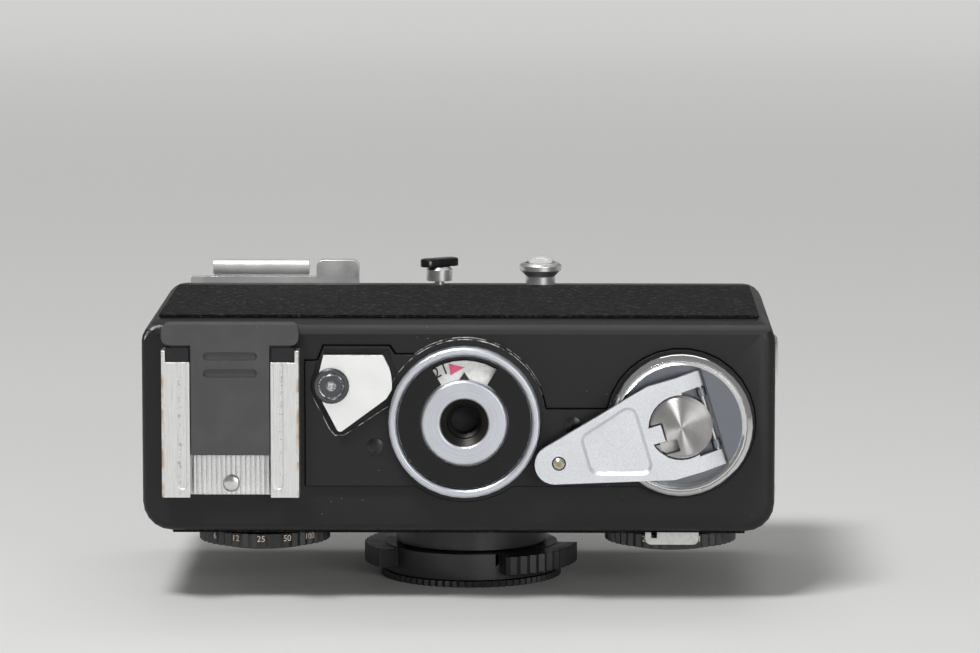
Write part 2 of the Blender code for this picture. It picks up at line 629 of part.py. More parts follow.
def make_base():
    """Inner base plate, film counter, tripod bush and back lock."""
    plate = prism(plateau_outline(0), "y", PLATE_FACE, INNER_BASE)
    plate = piece("base_plate", plate, BLACK_PAINT)
    for x, z, radius in ((COUNTER_X, COUNTER_Z, BUSH_SHANK), (KNOB_X, KNOB_Z, KNOB_SHAFT)):
        hole = circle((x, z), radius + RUN_GAP, 28)
        combine(plate, prism(hole, "y", PLATE_FACE - OVERCUT, INNER_BASE + OVERCUT))
    combine(plate, prism(lock_outline(4 * SEAM), "y", PLATE_FACE - OVERCUT, PLATE_FACE + LOCK_POCKET))
    bore = circle((LOCK_X, LOCK_Z), LOCK_BORE + SEAM, 16)
    combine(plate, prism(bore, "y", PLATE_FACE - OVERCUT, INNER_BASE + OVERCUT))

    centre = (COUNTER_X, COUNTER_Z)
    top = BASE_Y - COUNTER_PROUD
    foot = PLATE_FACE - FLAT_GAP
    ledge = top + COUNTER_FACE + SEAM
    bore = COUNTER_RADIUS - COUNTER_RIM
    soft = COUNTER_RIM / 4
    rim = [(COUNTER_RADIUS, foot), (COUNTER_RADIUS, top + soft), (COUNTER_RADIUS - soft, top)]
    rim += [(bore + soft, top), (bore, top + soft), (bore, ledge), (bore - COUNTER_RIM / 2, ledge)]
    rim += [(bore - COUNTER_RIM / 2, foot)]
    piece("counter_rim", turned(rim, "y", centre, 40), SATIN)
    face_low = top + soft
    reach = bore - SEAM
    hollow = BUSH_RADIUS + SEAM
    ring = [(hollow, face_low), (reach, face_low), (reach, ledge - SEAM), (hollow, ledge - SEAM)]
    face = piece("counter_face", turned(ring, "y", centre, 48), BLACK_PAINT)
    up = math.pi / 2
    window = arc(centre, WINDOW_REACH, up - WINDOW_HALF_ANGLE, up + WINDOW_HALF_ANGLE, 8)
    window += arc(centre, BUSH_SHANK, up + WINDOW_HALF_ANGLE, up - WINDOW_HALF_ANGLE, 2)
    combine(face, prism(window, "y", face_low - OVERCUT, ledge + OVERCUT))
    dial_low = ledge + COUNTER_DIAL_DROP
    dial_high = dial_low + COUNTER_DIAL
    edge = bore - COUNTER_RIM / 2 - RUN_GAP
    hollow = BUSH_SHANK + RUN_GAP
    dial = [(hollow, dial_low), (edge, dial_low), (edge, dial_high), (hollow, dial_high)]
    piece("counter_dial", turned(dial, "y", centre, 36), WHITE_DIAL, (COUNTER_X, dial_low, COUNTER_Z))
    bush_top = top - FLAT_GAP
    bush_foot = bush_top + BUSH_FACE
    bush = [(THREAD_RADIUS, INNER_BASE), (THREAD_RADIUS, bush_top + THREAD_LEAD - THREAD_RADIUS)]
    bush += [(THREAD_LEAD, bush_top), (BUSH_RADIUS - soft, bush_top), (BUSH_RADIUS, bush_top + soft)]
    bush += [(BUSH_RADIUS, bush_foot - COUNTER_FACE / 2), (BUSH_SHANK, bush_foot), (BUSH_SHANK, INNER_BASE)]
    piece("tripod_bush", turned(bush, "y", centre, 28), SATIN)

    low = PLATE_FACE - RUN_GAP - LOCK_THICK
    pivot = (LOCK_X, low, LOCK_Z)
    lever = piece("lock_lever", prism(lock_outline(0), "y", low, low + LOCK_THICK), SATIN, pivot)
    combine(lever, prism(circle((LOCK_X, LOCK_Z), LOCK_BORE + SEAM, 16), "y", low - OVERCUT, PLATE_FACE))
    head = low - FLAT_GAP
    crown = head - LOCK_SCREW_HIGH
    bevel = LOCK_SCREW_HIGH / 2
    inner = LOCK_SCREW * 0.68
    screw = [(0, INNER_BASE), (LOCK_BORE, INNER_BASE), (LOCK_BORE, head), (LOCK_SCREW, head)]
    screw += [(LOCK_SCREW, crown + bevel), (LOCK_SCREW - bevel, crown), (inner + bevel, crown)]
    screw += [(inner, crown + bevel), (inner - bevel, crown), (bevel, crown), (0, crown + bevel)]
    piece("lock_pivot_screw", turned(screw, "y", (LOCK_X, LOCK_Z), 24), SATIN)


def make_shoe():
    """Flash shoe on the base shell: rails, ribbed floor, contact, and the cover that slides out of it."""
    half = SHOE_WIDTH / 2
    mouth = SHOE_MOUTH / 2
    inside = half - SHOE_SIDE
    floor = SHOE_FACE - SHOE_FLOOR
    roof = floor - SHOE_SLOT
    crest = roof - SHOE_LIP
    low = SHOE_Z - SHOE_LENGTH / 2
    section = [(-half, SHOE_FACE), (half, SHOE_FACE), (half, crest), (mouth, crest), (mouth, roof)]
    section += [(inside, roof), (inside, floor), (-inside, floor), (-inside, roof), (-mouth, roof)]
    section += [(-mouth, crest), (-half, crest)]
    outline = [(SHOE_X + x, y) for x, y in section]
    rails = piece("shoe_rails", prism(outline, "z", low, SHOE_TOP), SATIN)
    for side in (-1, 1):
        centre = SHOE_X + side * (mouth + LIP_GROOVE_SET)
        radius = LIP_GROOVE / 2
        groove = arc((centre, low + LIP_GROOVE_END), radius, math.pi, math.tau, 6)
        groove += [(centre + radius, SHOE_TOP + OVERCUT), (centre - radius, SHOE_TOP + OVERCUT)]
        combine(rails, prism(groove, "y", crest - OVERCUT, crest + LIP_GROOVE_DEEP))
        first, last = sorted((SHOE_X + side * half, SHOE_X + side * (half - SHOE_SIDE / 2)))
        wall = rectangle(first, last, SHOE_TOP - OVERCUT, SHOE_TOP + WALL_RISE)
        combine(rails, prism(wall, "y", crest, SHOE_FACE), "UNION")
        near = half - SHOE_SIDE / 2 - FLAT_GAP
        first, last = sorted((SHOE_X + side * near, SHOE_X + side * (mouth + SEAM)))
        plate = rectangle(first, last, SHOE_TOP + FLAT_GAP, SHOE_TOP + SPRING_HIGH)
        name = "left_shoe_spring" if side < 0 else "right_shoe_spring"
        piece(name, prism(plate, "y", crest + SEAM, crest + SEAM + SPRING_THICK), DARK_METAL)

    sheet = floor - FLAT_GAP - SHOE_SHEET
    width = SHOE_MOUTH - 2 * SEAM
    pitch = width / SHOE_RIB_COUNT
    ribs = [(SHOE_X - width / 2, floor - FLAT_GAP), (SHOE_X + width / 2, floor - FLAT_GAP)]
    for count in range(SHOE_RIB_COUNT, 0, -1):
        right = SHOE_X - width / 2 + count * pitch
        ribs += [(right, sheet), (right - pitch / 4, sheet - SHOE_RIB), (right - pitch * 3 / 4, sheet - SHOE_RIB)]
    ribs.append((SHOE_X - width / 2, sheet))
    plate = piece("shoe_ribbed_floor", prism(ribs, "z", low + SEAM, low + RIB_LENGTH), SATIN)
    spot_z = low + CONTACT_SET
    hole = circle((SHOE_X, spot_z), CONTACT_RADIUS + SEAM, 16)
    combine(plate, prism(hole, "y", sheet - OVERCUT, floor + OVERCUT))
    contact = [(0, floor - FLAT_GAP), (CONTACT_RADIUS, floor - FLAT_GAP), (CONTACT_RADIUS, sheet - SHOE_RIB)]
    contact += [(CONTACT_RADIUS * 0.7, sheet - 1.5 * SHOE_RIB), (0, sheet - 1.5 * SHOE_RIB)]
    piece("shoe_contact", turned(contact, "y", (SHOE_X, spot_z), 16), CHROME)

    slack = RUN_GAP / 2
    runner = inside - slack
    neck = mouth - slack
    section = [(-runner, floor - slack), (runner, floor - slack), (runner, roof + slack), (neck, roof + slack)]
    section += [(neck, crest + slack), (-neck, crest + slack), (-neck, roof + slack), (-runner, roof + slack)]
    outline = [(SHOE_X + x, y) for x, y in section]
    end = low + RIB_LENGTH + TONGUE_END
    flange_low = SHOE_TOP + FLANGE_STAND
    flange_high = flange_low + FLANGE_LENGTH
    cover = piece("shoe_cover", prism(outline, "z", end, flange_low + OVERCUT), GREY_PLASTIC, (SHOE_X, crest, end))
    flange = rounded(SHOE_X - half, SHOE_X + half, flange_low, flange_high, FLANGE_ROUND, FLANGE_ROUND, 3)
    combine(cover, prism(flange, "y", crest + slack, SHOE_FACE - slack), "UNION")
    for count in range(2):
        middle = flange_low - GRIP_SET - count * GRIP_STEP
        radius = GRIP_WIDTH / 2
        left = SHOE_X - GRIP_LENGTH / 2
        grip = rounded(left, left + GRIP_LENGTH, middle - radius, middle + radius, radius * 0.98, radius * 0.98, 4)
        combine(cover, prism(grip, "y", crest - OVERCUT, crest + slack + GRIP_DEEP))


def make_rewind():
    """Rewind knob, hub, fork and the crank that folds over them; local X runs from the hub to the crank's tip."""
    frame("rewind_axis", (KNOB_X, 0, KNOB_Z), "camera", CRANK_TURN)
    axis = "rewind_axis"
    top = BASE_Y - KNOB_PROUD
    foot = PLATE_FACE - RUN_GAP
    inside = KNOB_RADIUS - KNOB_RIM
    step = KNOB_RIM / 8
    shaft_end = INNER_BASE + SEAM
    cup = [(0, shaft_end), (KNOB_SHAFT, shaft_end), (KNOB_SHAFT, foot), (KNOB_RADIUS, foot)]
    cup += [(KNOB_RADIUS, top + 5 * step), (KNOB_RADIUS - step, top + 3 * step), (KNOB_RADIUS - 4 * step, top)]
    cup += [(KNOB_RADIUS - 5 * step, top + step), (KNOB_RADIUS - 6 * step, top + step)]
    cup += [(KNOB_RADIUS - 6 * step, top), (inside, top + step), (inside, KNOB_BED), (0, KNOB_BED)]
    knob = piece("rewind_knob", turned(cup, "y", (0, 0), 40), CHROME, parent=axis)
    for side in (-1, 1):
        first, last = sorted((side * LUG_INSIDE, side * LUG_OUTSIDE))
        lug = rounded(-HINGE_SET - KNUCKLE, -HINGE_SET + KNUCKLE, HINGE_Y - KNUCKLE, KNOB_BED + SEAM, KNUCKLE * 0.9, SEAM, 3)
        combine(knob, prism(lug, "z", first, last), "UNION", axis)
    bore = circle((-HINGE_SET, HINGE_Y), HINGE_PIN + FLAT_GAP, 12)
    combine(knob, prism(bore, "z", -LUG_OUTSIDE - SEAM, LUG_OUTSIDE + SEAM), parent=axis)
    chord = HINGE_SET + KNUCKLE + RUN_GAP
    reach = inside + SEAM
    half = math.acos(chord / reach)
    shelf = arc((0, 0), reach, math.pi - half, math.pi + half, 14)
    combine(knob, prism(shelf, "y", HINGE_Y - KNUCKLE / 2, KNOB_BED + SEAM), "UNION", axis)
    pin = circle((-HINGE_SET, HINGE_Y), HINGE_PIN, 12)
    length = CRANK_HALF - SEAM
    piece("crank_pin", prism(pin, "z", -length, length), SATIN, parent=axis)

    crown = BASE_Y - HUB_PROUD
    hub = [(0, KNOB_BED - FLAT_GAP), (HUB_RADIUS, KNOB_BED - FLAT_GAP), (HUB_RADIUS, crown + HUB_DOME)]
    hub += [(HUB_RADIUS - HUB_DOME / 2, crown + HUB_DOME / 4), (HUB_RADIUS - HUB_DOME, crown), (0, crown)]
    hub = piece("rewind_hub", turned(hub, "y", (0, 0), 32), SATIN, parent=axis)
    slot = rectangle(HUB_RADIUS - HUB_SLOT_REACH, HUB_RADIUS + OVERCUT, -HUB_SLOT, HUB_SLOT)
    deep = crown + 2 * CRANK_THICK
    combine(hub, prism(slot, "y", crown - OVERCUT, deep), parent=axis)
    combine(hub, prism(bore, "z", -HUB_RADIUS, HUB_RADIUS), parent=axis)
    far = HUB_SLOT + HUB_POCKET
    pocket = rectangle(HUB_SLOT_REACH / 2, HUB_RADIUS * 0.8, HUB_SLOT - SEAM, far)
    combine(hub, prism(pocket, "y", crown - OVERCUT, deep), parent=axis)

    fork = [(0, shaft_end + SEAM), (KNOB_SHAFT, shaft_end + SEAM), (KNOB_SHAFT, shaft_end + FORK_LENGTH)]
    fork.append((0, shaft_end + FORK_LENGTH))
    fork = piece("rewind_fork", turned(fork, "y", (0, 0), 20), SATIN, parent=axis)
    slot = rectangle(-KNOB_SHAFT * 2, KNOB_SHAFT * 2, -FORK_SLOT / 2, FORK_SLOT / 2)
    combine(fork, prism(slot, "y", shaft_end + FORK_LENGTH / 2, shaft_end + FORK_LENGTH + OVERCUT), parent=axis)
    make_crank(axis)


def make_crank(axis):
    """The crank: a rounded triangle open round the hub, a pressed panel, and two arms bent down to the hinge."""
    low = CRANK_BED - CRANK_THICK
    pitch = math.atan2(CRANK_HALF - CRANK_TIP, CRANK_REACH - CRANK_SHOULDER)
    quarter = math.pi / 2
    corner = CRANK_TIP / 2
    side = CRANK_HALF - corner
    outline = arc((CRANK_REACH, 0), CRANK_TIP, -quarter + pitch, quarter - pitch, 10)
    outline += arc((CRANK_SHOULDER - corner, side), corner, quarter - pitch, quarter, 3)
    outline += [(-CRANK_BEND, CRANK_HALF), (-CRANK_BEND, -CRANK_HALF)]
    outline += arc((CRANK_SHOULDER - corner, -side), corner, -quarter, -quarter + pitch, 3)
    pivot = (-HINGE_SET, HINGE_Y, 0)
    crank = piece("rewind_crank", prism(outline, "y", low, CRANK_BED), SATIN, pivot, axis)
    drop = math.atan2(HINGE_Y - CRANK_BED, HINGE_SET - CRANK_BEND)
    arm = arc((-HINGE_SET, HINGE_Y), KNUCKLE, -quarter - drop, -math.pi * 3 / 2 - drop, 8)
    arm += [(-CRANK_BEND, CRANK_BED), (-CRANK_BEND + SEAM, CRANK_BED), (-CRANK_BEND + SEAM, low)]
    for first, last in ((ARM_INSIDE, CRANK_HALF), (-CRANK_HALF, -ARM_INSIDE)):
        combine(crank, prism(arm, "z", first, last), "UNION", axis)
    bore = circle((-HINGE_SET, HINGE_Y), HINGE_PIN + FLAT_GAP, 12)
    combine(crank, prism(bore, "z", -CRANK_HALF - OVERCUT, CRANK_HALF + OVERCUT), parent=axis)
    ring = HUB_RADIUS + SEAM
    tab = HUB_SLOT - RUN_GAP
    edge = math.asin(tab / ring)
    hole = arc((0, 0), ring, edge, math.tau - edge, 28)
    reach = HUB_RADIUS - HUB_SLOT_REACH + RUN_GAP
    hole += [(reach, -tab), (reach, tab)]
    combine(crank, prism(hole, "y", low - OVERCUT, CRANK_BED + OVERCUT), parent=axis)
    panel = tapered(panel_outline(2 * CRANK_SLOPE), panel_outline(0), "y", low - CRANK_PRESS, low + CRANK_PRESS)
    combine(crank, panel, parent=axis)
    seat = circle((CRANK_PIN, 0), TIP_PIN + SEAM, 16)
    combine(crank, prism(seat, "y", low - OVERCUT, CRANK_BED + OVERCUT), parent=axis)
    head = low - TIP_PIN_HIGH
    pin = [(0, head), (TIP_PIN / 2, head), (TIP_PIN, low), (TIP_PIN, CRANK_BED), (0, CRANK_BED)]
    piece("crank_tip_pin", turned(pin, "y", (CRANK_PIN, 0), 16), BRASS, pivot, axis)


def panel_outline(grow):
    """The crank's pressed panel: four round corners, the pair near the hub wider apart than the pair near the tip."""
    quarter = math.pi / 2
    lean = quarter - math.atan2(PANEL_NEAR_HALF - PANEL_FAR_HALF, PANEL_FAR - PANEL_NEAR)
    radius = PANEL_ROUND + grow
    points = arc((PANEL_NEAR, -PANEL_NEAR_HALF), radius, -math.pi, -lean, 5)
    points += arc((PANEL_FAR, -PANEL_FAR_HALF), radius, -lean, 0, 4)
    points += arc((PANEL_FAR, PANEL_FAR_HALF), radius, 0, lean, 4)
    points += arc((PANEL_NEAR, PANEL_NEAR_HALF), radius, lean, math.pi, 5)
    return points


def make_film_chamber():
    """Film gate block, cassette and take-up wells, spool, sprocket and pressure plate."""
    low = INNER_BASE + SEAM
    high = SPLIT_Y - SEAM
    block = rectangle(GATE_LEFT, GATE_RIGHT, INNER_FRONT, FILM_Z)
    block = piece("film_gate_block", prism(block, "y", low, high), BLACK_METAL)
    bore = circle((LENS_X, LENS_Y), TUBE_RADIUS + BORE_GAP, 40)
    combine(block, prism(bore, "z", INNER_FRONT - OVERCUT, FILM_Z - GATE_LAND))
    half = GATE_WIDTH / 2
    tall = GATE_HEIGHT / 2
    gate = rectangle(LENS_X - half, LENS_X + half, LENS_Y - tall, LENS_Y + tall)
    combine(block, prism(gate, "z", FILM_Z - GATE_LAND * 1.5, FILM_Z + OVERCUT))

    wells = (
        ("cassette_well", GATE_RIGHT + SEAM, INNER_SIDE, KNOB_X, KNOB_Z, KNOB_SHAFT, low),
        ("take_up_well", -INNER_SIDE, GATE_LEFT - SEAM, SPOOL_AXIS_X, SPOOL_AXIS_Z, SPOOL_SHAFT, WELL_TOP),
    )
    for name, left, right, x, z, shaft, end in wells:
        outline = rounded(left, right, INNER_FRONT, FILM_Z - SEAM, FRONT_CORNER, SEAM, 4)
        well = piece(name, prism(outline, "y", low, WELL_TOP), BLACK_METAL)
        deep = (right - left) / 2 - WELL_WALL if name == "cassette_well" else FRONT_CORNER
        floor = INNER_FRONT + WELL_WALL
        room = rounded(left + WELL_WALL, right - WELL_WALL, floor, FILM_Z + 3 * OVERCUT, deep, SEAM, 8)
        combine(well, prism(room, "y", low + WELL_WALL, WELL_TOP - WELL_WALL))
        hole = circle((x, z), shaft + RUN_GAP, 16)
        combine(well, prism(hole, "y", end - 2 * OVERCUT, end + 2 * OVERCUT))

    first = low + WELL_WALL + RUN_GAP
    last = WELL_TOP - WELL_WALL - RUN_GAP
    shaft_end = TOP_Y - SHELL_WALL - 2 * LEVER_SHAFT - RUN_GAP
    spool = [(0, first), (SPOOL_FLANGE, first), (SPOOL_FLANGE, first + SPOOL_DISC), (SPOOL_CORE, first + SPOOL_DISC)]
    spool += [(SPOOL_CORE, last - SPOOL_DISC), (SPOOL_FLANGE, last - SPOOL_DISC), (SPOOL_FLANGE, last)]
    spool += [(SPOOL_SHAFT, last), (SPOOL_SHAFT, max(shaft_end, last + WELL_WALL)), (0, max(shaft_end, last + WELL_WALL))]
    axis = (SPOOL_AXIS_X, SPOOL_AXIS_Z)
    spool = piece("take_up_spool", turned(spool, "y", axis, 20), BLACK_METAL, (axis[0], first, axis[1]))
    slit = rectangle(axis[0] - SPOOL_SHAFT / 2, axis[0] + SPOOL_SHAFT / 2, axis[1] + SPOOL_SHAFT, axis[1] + SPOOL_FLANGE)
    combine(spool, prism(slit, "y", first + 3 * SPOOL_DISC, last - 3 * SPOOL_DISC))

    axis = (GATE_LEFT - SEAM - WELL_WALL - RUN_GAP - SPROCKET_TIP, FILM_Z - SPROCKET_DROP)
    core = [(0, first), (SPROCKET_CORE, first), (SPROCKET_CORE, last), (0, last)]
    wheel = piece("sprocket", turned(core, "y", axis, 16), SATIN, (axis[0], first, axis[1]))
    for side in (-1, 1):
        middle = LENS_Y + side * FILM_PITCH / 2
        ring = toothed(axis, SPROCKET_TIP, SPROCKET_TIP - SPROCKET_CORE * 0.95, SPROCKET_TEETH)
        combine(wheel, prism(ring, "y", middle - SPROCKET_BAND / 2, middle + SPROCKET_BAND / 2), "UNION")

    under = FILM_Z + RUN_GAP
    panel = rectangle(
        LENS_X - half - PLATE_OVERLAP, LENS_X + half + PLATE_OVERLAP,
        LENS_Y - tall - PLATE_OVERLAP, LENS_Y + tall + PLATE_OVERLAP,
    )
    piece("pressure_plate", prism(panel, "z", under, under + PLATE_THICK), BLACK_METAL)


def make_lens():
    """Mount, collapsing tube in its guide, iris, glass, focusing ring with grip pads, and serrated front ring."""
    centre = (LENS_X, LENS_Y)
    hole = TUBE_RADIUS + RUN_GAP
    seat = FRONT_Z - FLAT_GAP
    soft = MOUNT_HIGH / 3
    mount = [(hole, seat), (MOUNT_RADIUS, seat), (MOUNT_RADIUS, seat - MOUNT_HIGH + soft)]
    mount += [(MOUNT_RADIUS - soft, seat - MOUNT_HIGH), (hole, seat - MOUNT_HIGH)]
    piece("lens_mount", turned(mount, "z", centre, 28), SATIN)

    focus_low = FRONT_RING_HIGH + FLAT_GAP
    focus_high = focus_low + FOCUS_HIGH
    tube_low = focus_high + RUN_GAP
    tube_high = FILM_Z - TUBE_END + GUIDE_HIGH
    inside = TUBE_RADIUS - TUBE_WALL
    tube = [(inside, tube_low), (TUBE_RADIUS, tube_low), (TUBE_RADIUS, tube_high), (inside, tube_high)]
    origin = (LENS_X, LENS_Y, tube_low)
    piece("lens_tube", turned(tube, "z", centre, 40), BLACK_METAL, origin)
    guide_in = TUBE_RADIUS + SEAM
    guide_out = TUBE_RADIUS + BORE_GAP - RUN_GAP
    guide_low = tube_high - GUIDE_HIGH
    guide = [(guide_in, guide_low), (guide_out, guide_low), (guide_out, tube_high), (guide_in, tube_high)]
    piece("lens_guide", turned(guide, "z", centre, 28), SATIN, origin)

    slide = inside - SEAM
    iris_low = tube_low + IRIS_SET
    ring = prism(circle(centre, slide, 32), "z", iris_low, iris_low + IRIS_THICK)
    iris = piece("iris", ring, DARK_METAL, origin)
    opening = circle(centre, IRIS_OPENING, IRIS_BLADES)
    combine(iris, prism(opening, "z", iris_low - OVERCUT, iris_low + IRIS_THICK + OVERCUT))
    rear_high = tube_high - GLASS_SET
    rear_low = rear_high - 2 * GLASS_EDGE
    rear = [(0, rear_low - GLASS_DOME), (GLASS_REAR * 0.6, rear_low - GLASS_DOME * 0.64), (GLASS_REAR, rear_low)]
    rear += [(slide, rear_low), (slide, rear_high - GLASS_EDGE), (GLASS_REAR, rear_high - GLASS_EDGE)]
    rear += [(GLASS_REAR * 0.6, rear_high - GLASS_EDGE / 3), (0, rear_high)]
    piece("rear_glass", turned(rear, "z", centre, 16), GLASS, origin)

    bore = FRONT_RING_BORE
    ring = [(bore, focus_low), (FOCUS_RADIUS, focus_low), (FOCUS_RADIUS, focus_high), (bore - TUBE_WALL * 2, focus_high)]
    ring.append((bore - TUBE_WALL * 2, focus_high - TUBE_WALL))
    ring.append((bore, focus_high - TUBE_WALL))
    focus = piece("focus_ring", turned(ring, "z", centre, 48), BLACK_METAL, origin)
    root = FOCUS_RADIUS - TUBE_WALL / 2
    for middle in PAD_ANGLES:
        first = middle - PAD_HALF_ANGLE
        last = middle + PAD_HALF_ANGLE
        pad = toothed(centre, PAD_RADIUS, PAD_RIB_DEPTH, PAD_RIBS, first, last, closed=False)
        pad += arc(centre, root, last, first, 8)
        combine(focus, prism(pad, "z", focus_high - PAD_HIGH, focus_high - FLAT_GAP), "UNION")

    serrated = toothed(centre, FRONT_RING_RADIUS, TOOTH_DEPTH, FRONT_RING_TEETH)
    front = piece("front_ring", prism(serrated, "z", 0, FRONT_RING_HIGH), BLACK_METAL, origin)
    combine(front, prism(circle(centre, bore, 40), "z", -OVERCUT, FRONT_RING_HIGH + OVERCUT))
    edge = bore - SEAM
    glass_low = focus_low + FLAT_GAP
    cell_high = focus_high - TUBE_WALL - FLAT_GAP
    cell = [(GLASS_FRONT + SEAM, cell_high), (GLASS_FRONT + SEAM, glass_low + GLASS_EDGE), (edge, glass_low)]
    cell.append((edge, cell_high))
    piece("front_cell", turned(cell, "z", centre, 28), BLACK_METAL, origin)
    glass_low += GLASS_EDGE
    glass = [(0, glass_low - GLASS_DOME), (GLASS_FRONT * 0.6, glass_low - GLASS_DOME * 0.64), (GLASS_FRONT, glass_low)]
    glass += [(GLASS_FRONT, cell_high), (0, cell_high)]
    piece("front_glass", turned(glass, "z", centre, 32), GLASS, origin)


def make_dials():
    """Speed dial, aperture dial, and the bracket that indexes the aperture dial."""
    places = (
        ("speed_dial", -HALF_WIDTH + DIAL_LEFT_INSET),
        ("aperture_dial", HALF_WIDTH - DIAL_RIGHT_INSET),
    )
    face = DIAL_BACK - DIAL_HIGH
    for name, x in places:
        edge = toothed((x, DIAL_Y), DIAL_RADIUS, TOOTH_DEPTH, DIAL_TEETH)
        dial = piece(name, prism(edge, "z", face, DIAL_BACK), BLACK_METAL, (x, DIAL_Y, face))
        cap = prism(circle((x, DIAL_Y), DIAL_CAP_RADIUS, 32), "z", face - DIAL_CAP, face + DIAL_CAP)
        combine(dial, cap, "UNION")
    middle = HALF_WIDTH - DIAL_RIGHT_INSET
    half = BRACKET_WIDTH / 2
    high = FRONT_Z - SEAM
    low = high - BRACKET_HIGH
    notch = middle - half + BRACKET_NOTCH
    soft = BRACKET_NOTCH
    outline = arc((middle - half + soft, low + soft), soft, math.pi, math.pi * 3 / 2, 4)
    outline += arc((middle + half - soft, low + soft), soft, math.pi * 3 / 2, math.tau, 4)
    outline += [(middle + half, high), (notch + BRACKET_NOTCH, high), (notch + BRACKET_NOTCH, high - BRACKET_NOTCH)]
    outline += [(notch, high - BRACKET_NOTCH), (notch, high), (middle - half, high)]
    near = DIAL_Y - DIAL_RADIUS - RUN_GAP - BRACKET_THICK
    piece("dial_bracket", prism(outline, "y", near, near + BRACKET_THICK), SATIN)


def make_wind_lever():
    """Wind lever on the top cover: a disc about its shaft and an arm whose ridged lip stands out behind the back."""
    centre = (SPOOL_AXIS_X, SPOOL_AXIS_Z)
    left = -HALF_WIDTH + LEVER_LEFT
    right = SPOOL_AXIS_X + LEVER_RIGHT - TIP_LENGTH - FLAT_GAP
    lip = SKIN_Z + LEVER_LIP
    inner = lip - LEVER_BAND
    top = LEVER_Y + LEVER_THICK
    outline = [(right, inner), (right, lip), (left, lip)]
    outline += arc(centre, LEVER_DISC, math.pi, math.tau, 16)
    origin = (SPOOL_AXIS_X, LEVER_Y, SPOOL_AXIS_Z)
    lever = piece("wind_lever", prism(outline, "y", LEVER_Y, top), CHROME, origin)
    shaft = prism(circle(centre, LEVER_SHAFT, 20), "y", TOP_Y - SHELL_WALL - LEVER_SHAFT, LEVER_Y + LEVER_THICK / 2)
    combine(lever, shaft, "UNION")
    ridge_low = lip + RIDGE_GROOVE
    web = rectangle(left + RIDGE_INSET, right - RIDGE_END, lip - OVERCUT, ridge_low + OVERCUT)
    combine(lever, prism(web, "y", LEVER_Y + LEVER_THICK / 2, top - LEVER_THICK / 6), "UNION")
    ridge = rounded(LEVER_Y, LEVER_Y + RIDGE_THICK, ridge_low, ridge_low + RIDGE_HIGH, SEAM, RIDGE_HIGH * 0.4, 3)
    combine(lever, prism(ridge, "x", left + RIDGE_INSET, right - RIDGE_END), "UNION")

    tip_left = right + FLAT_GAP
    tip = rounded(tip_left, tip_left + TIP_LENGTH, inner, ridge_low + RIDGE_HIGH, RIDGE_HIGH / 2, RIDGE_HIGH / 2, 4)
    tip = prism(tip, "y", LEVER_Y, LEVER_Y + TIP_THICK)
    piece("wind_lever_tip", round_rim(tip, "y", LEVER_Y + TIP_THICK, LEVER_THICK / 3, 2), CHROME, origin)
    seat = top + FLAT_GAP
    crown = top + LEVER_SCREW_HIGH
    soft = LEVER_SCREW_HIGH / 2
    cap = [(0, seat), (LEVER_SCREW, seat), (LEVER_SCREW, crown - soft), (LEVER_SCREW - soft, crown), (0, crown)]
    piece("wind_lever_cap", turned(cap, "y", centre, 28), CHROME, origin)


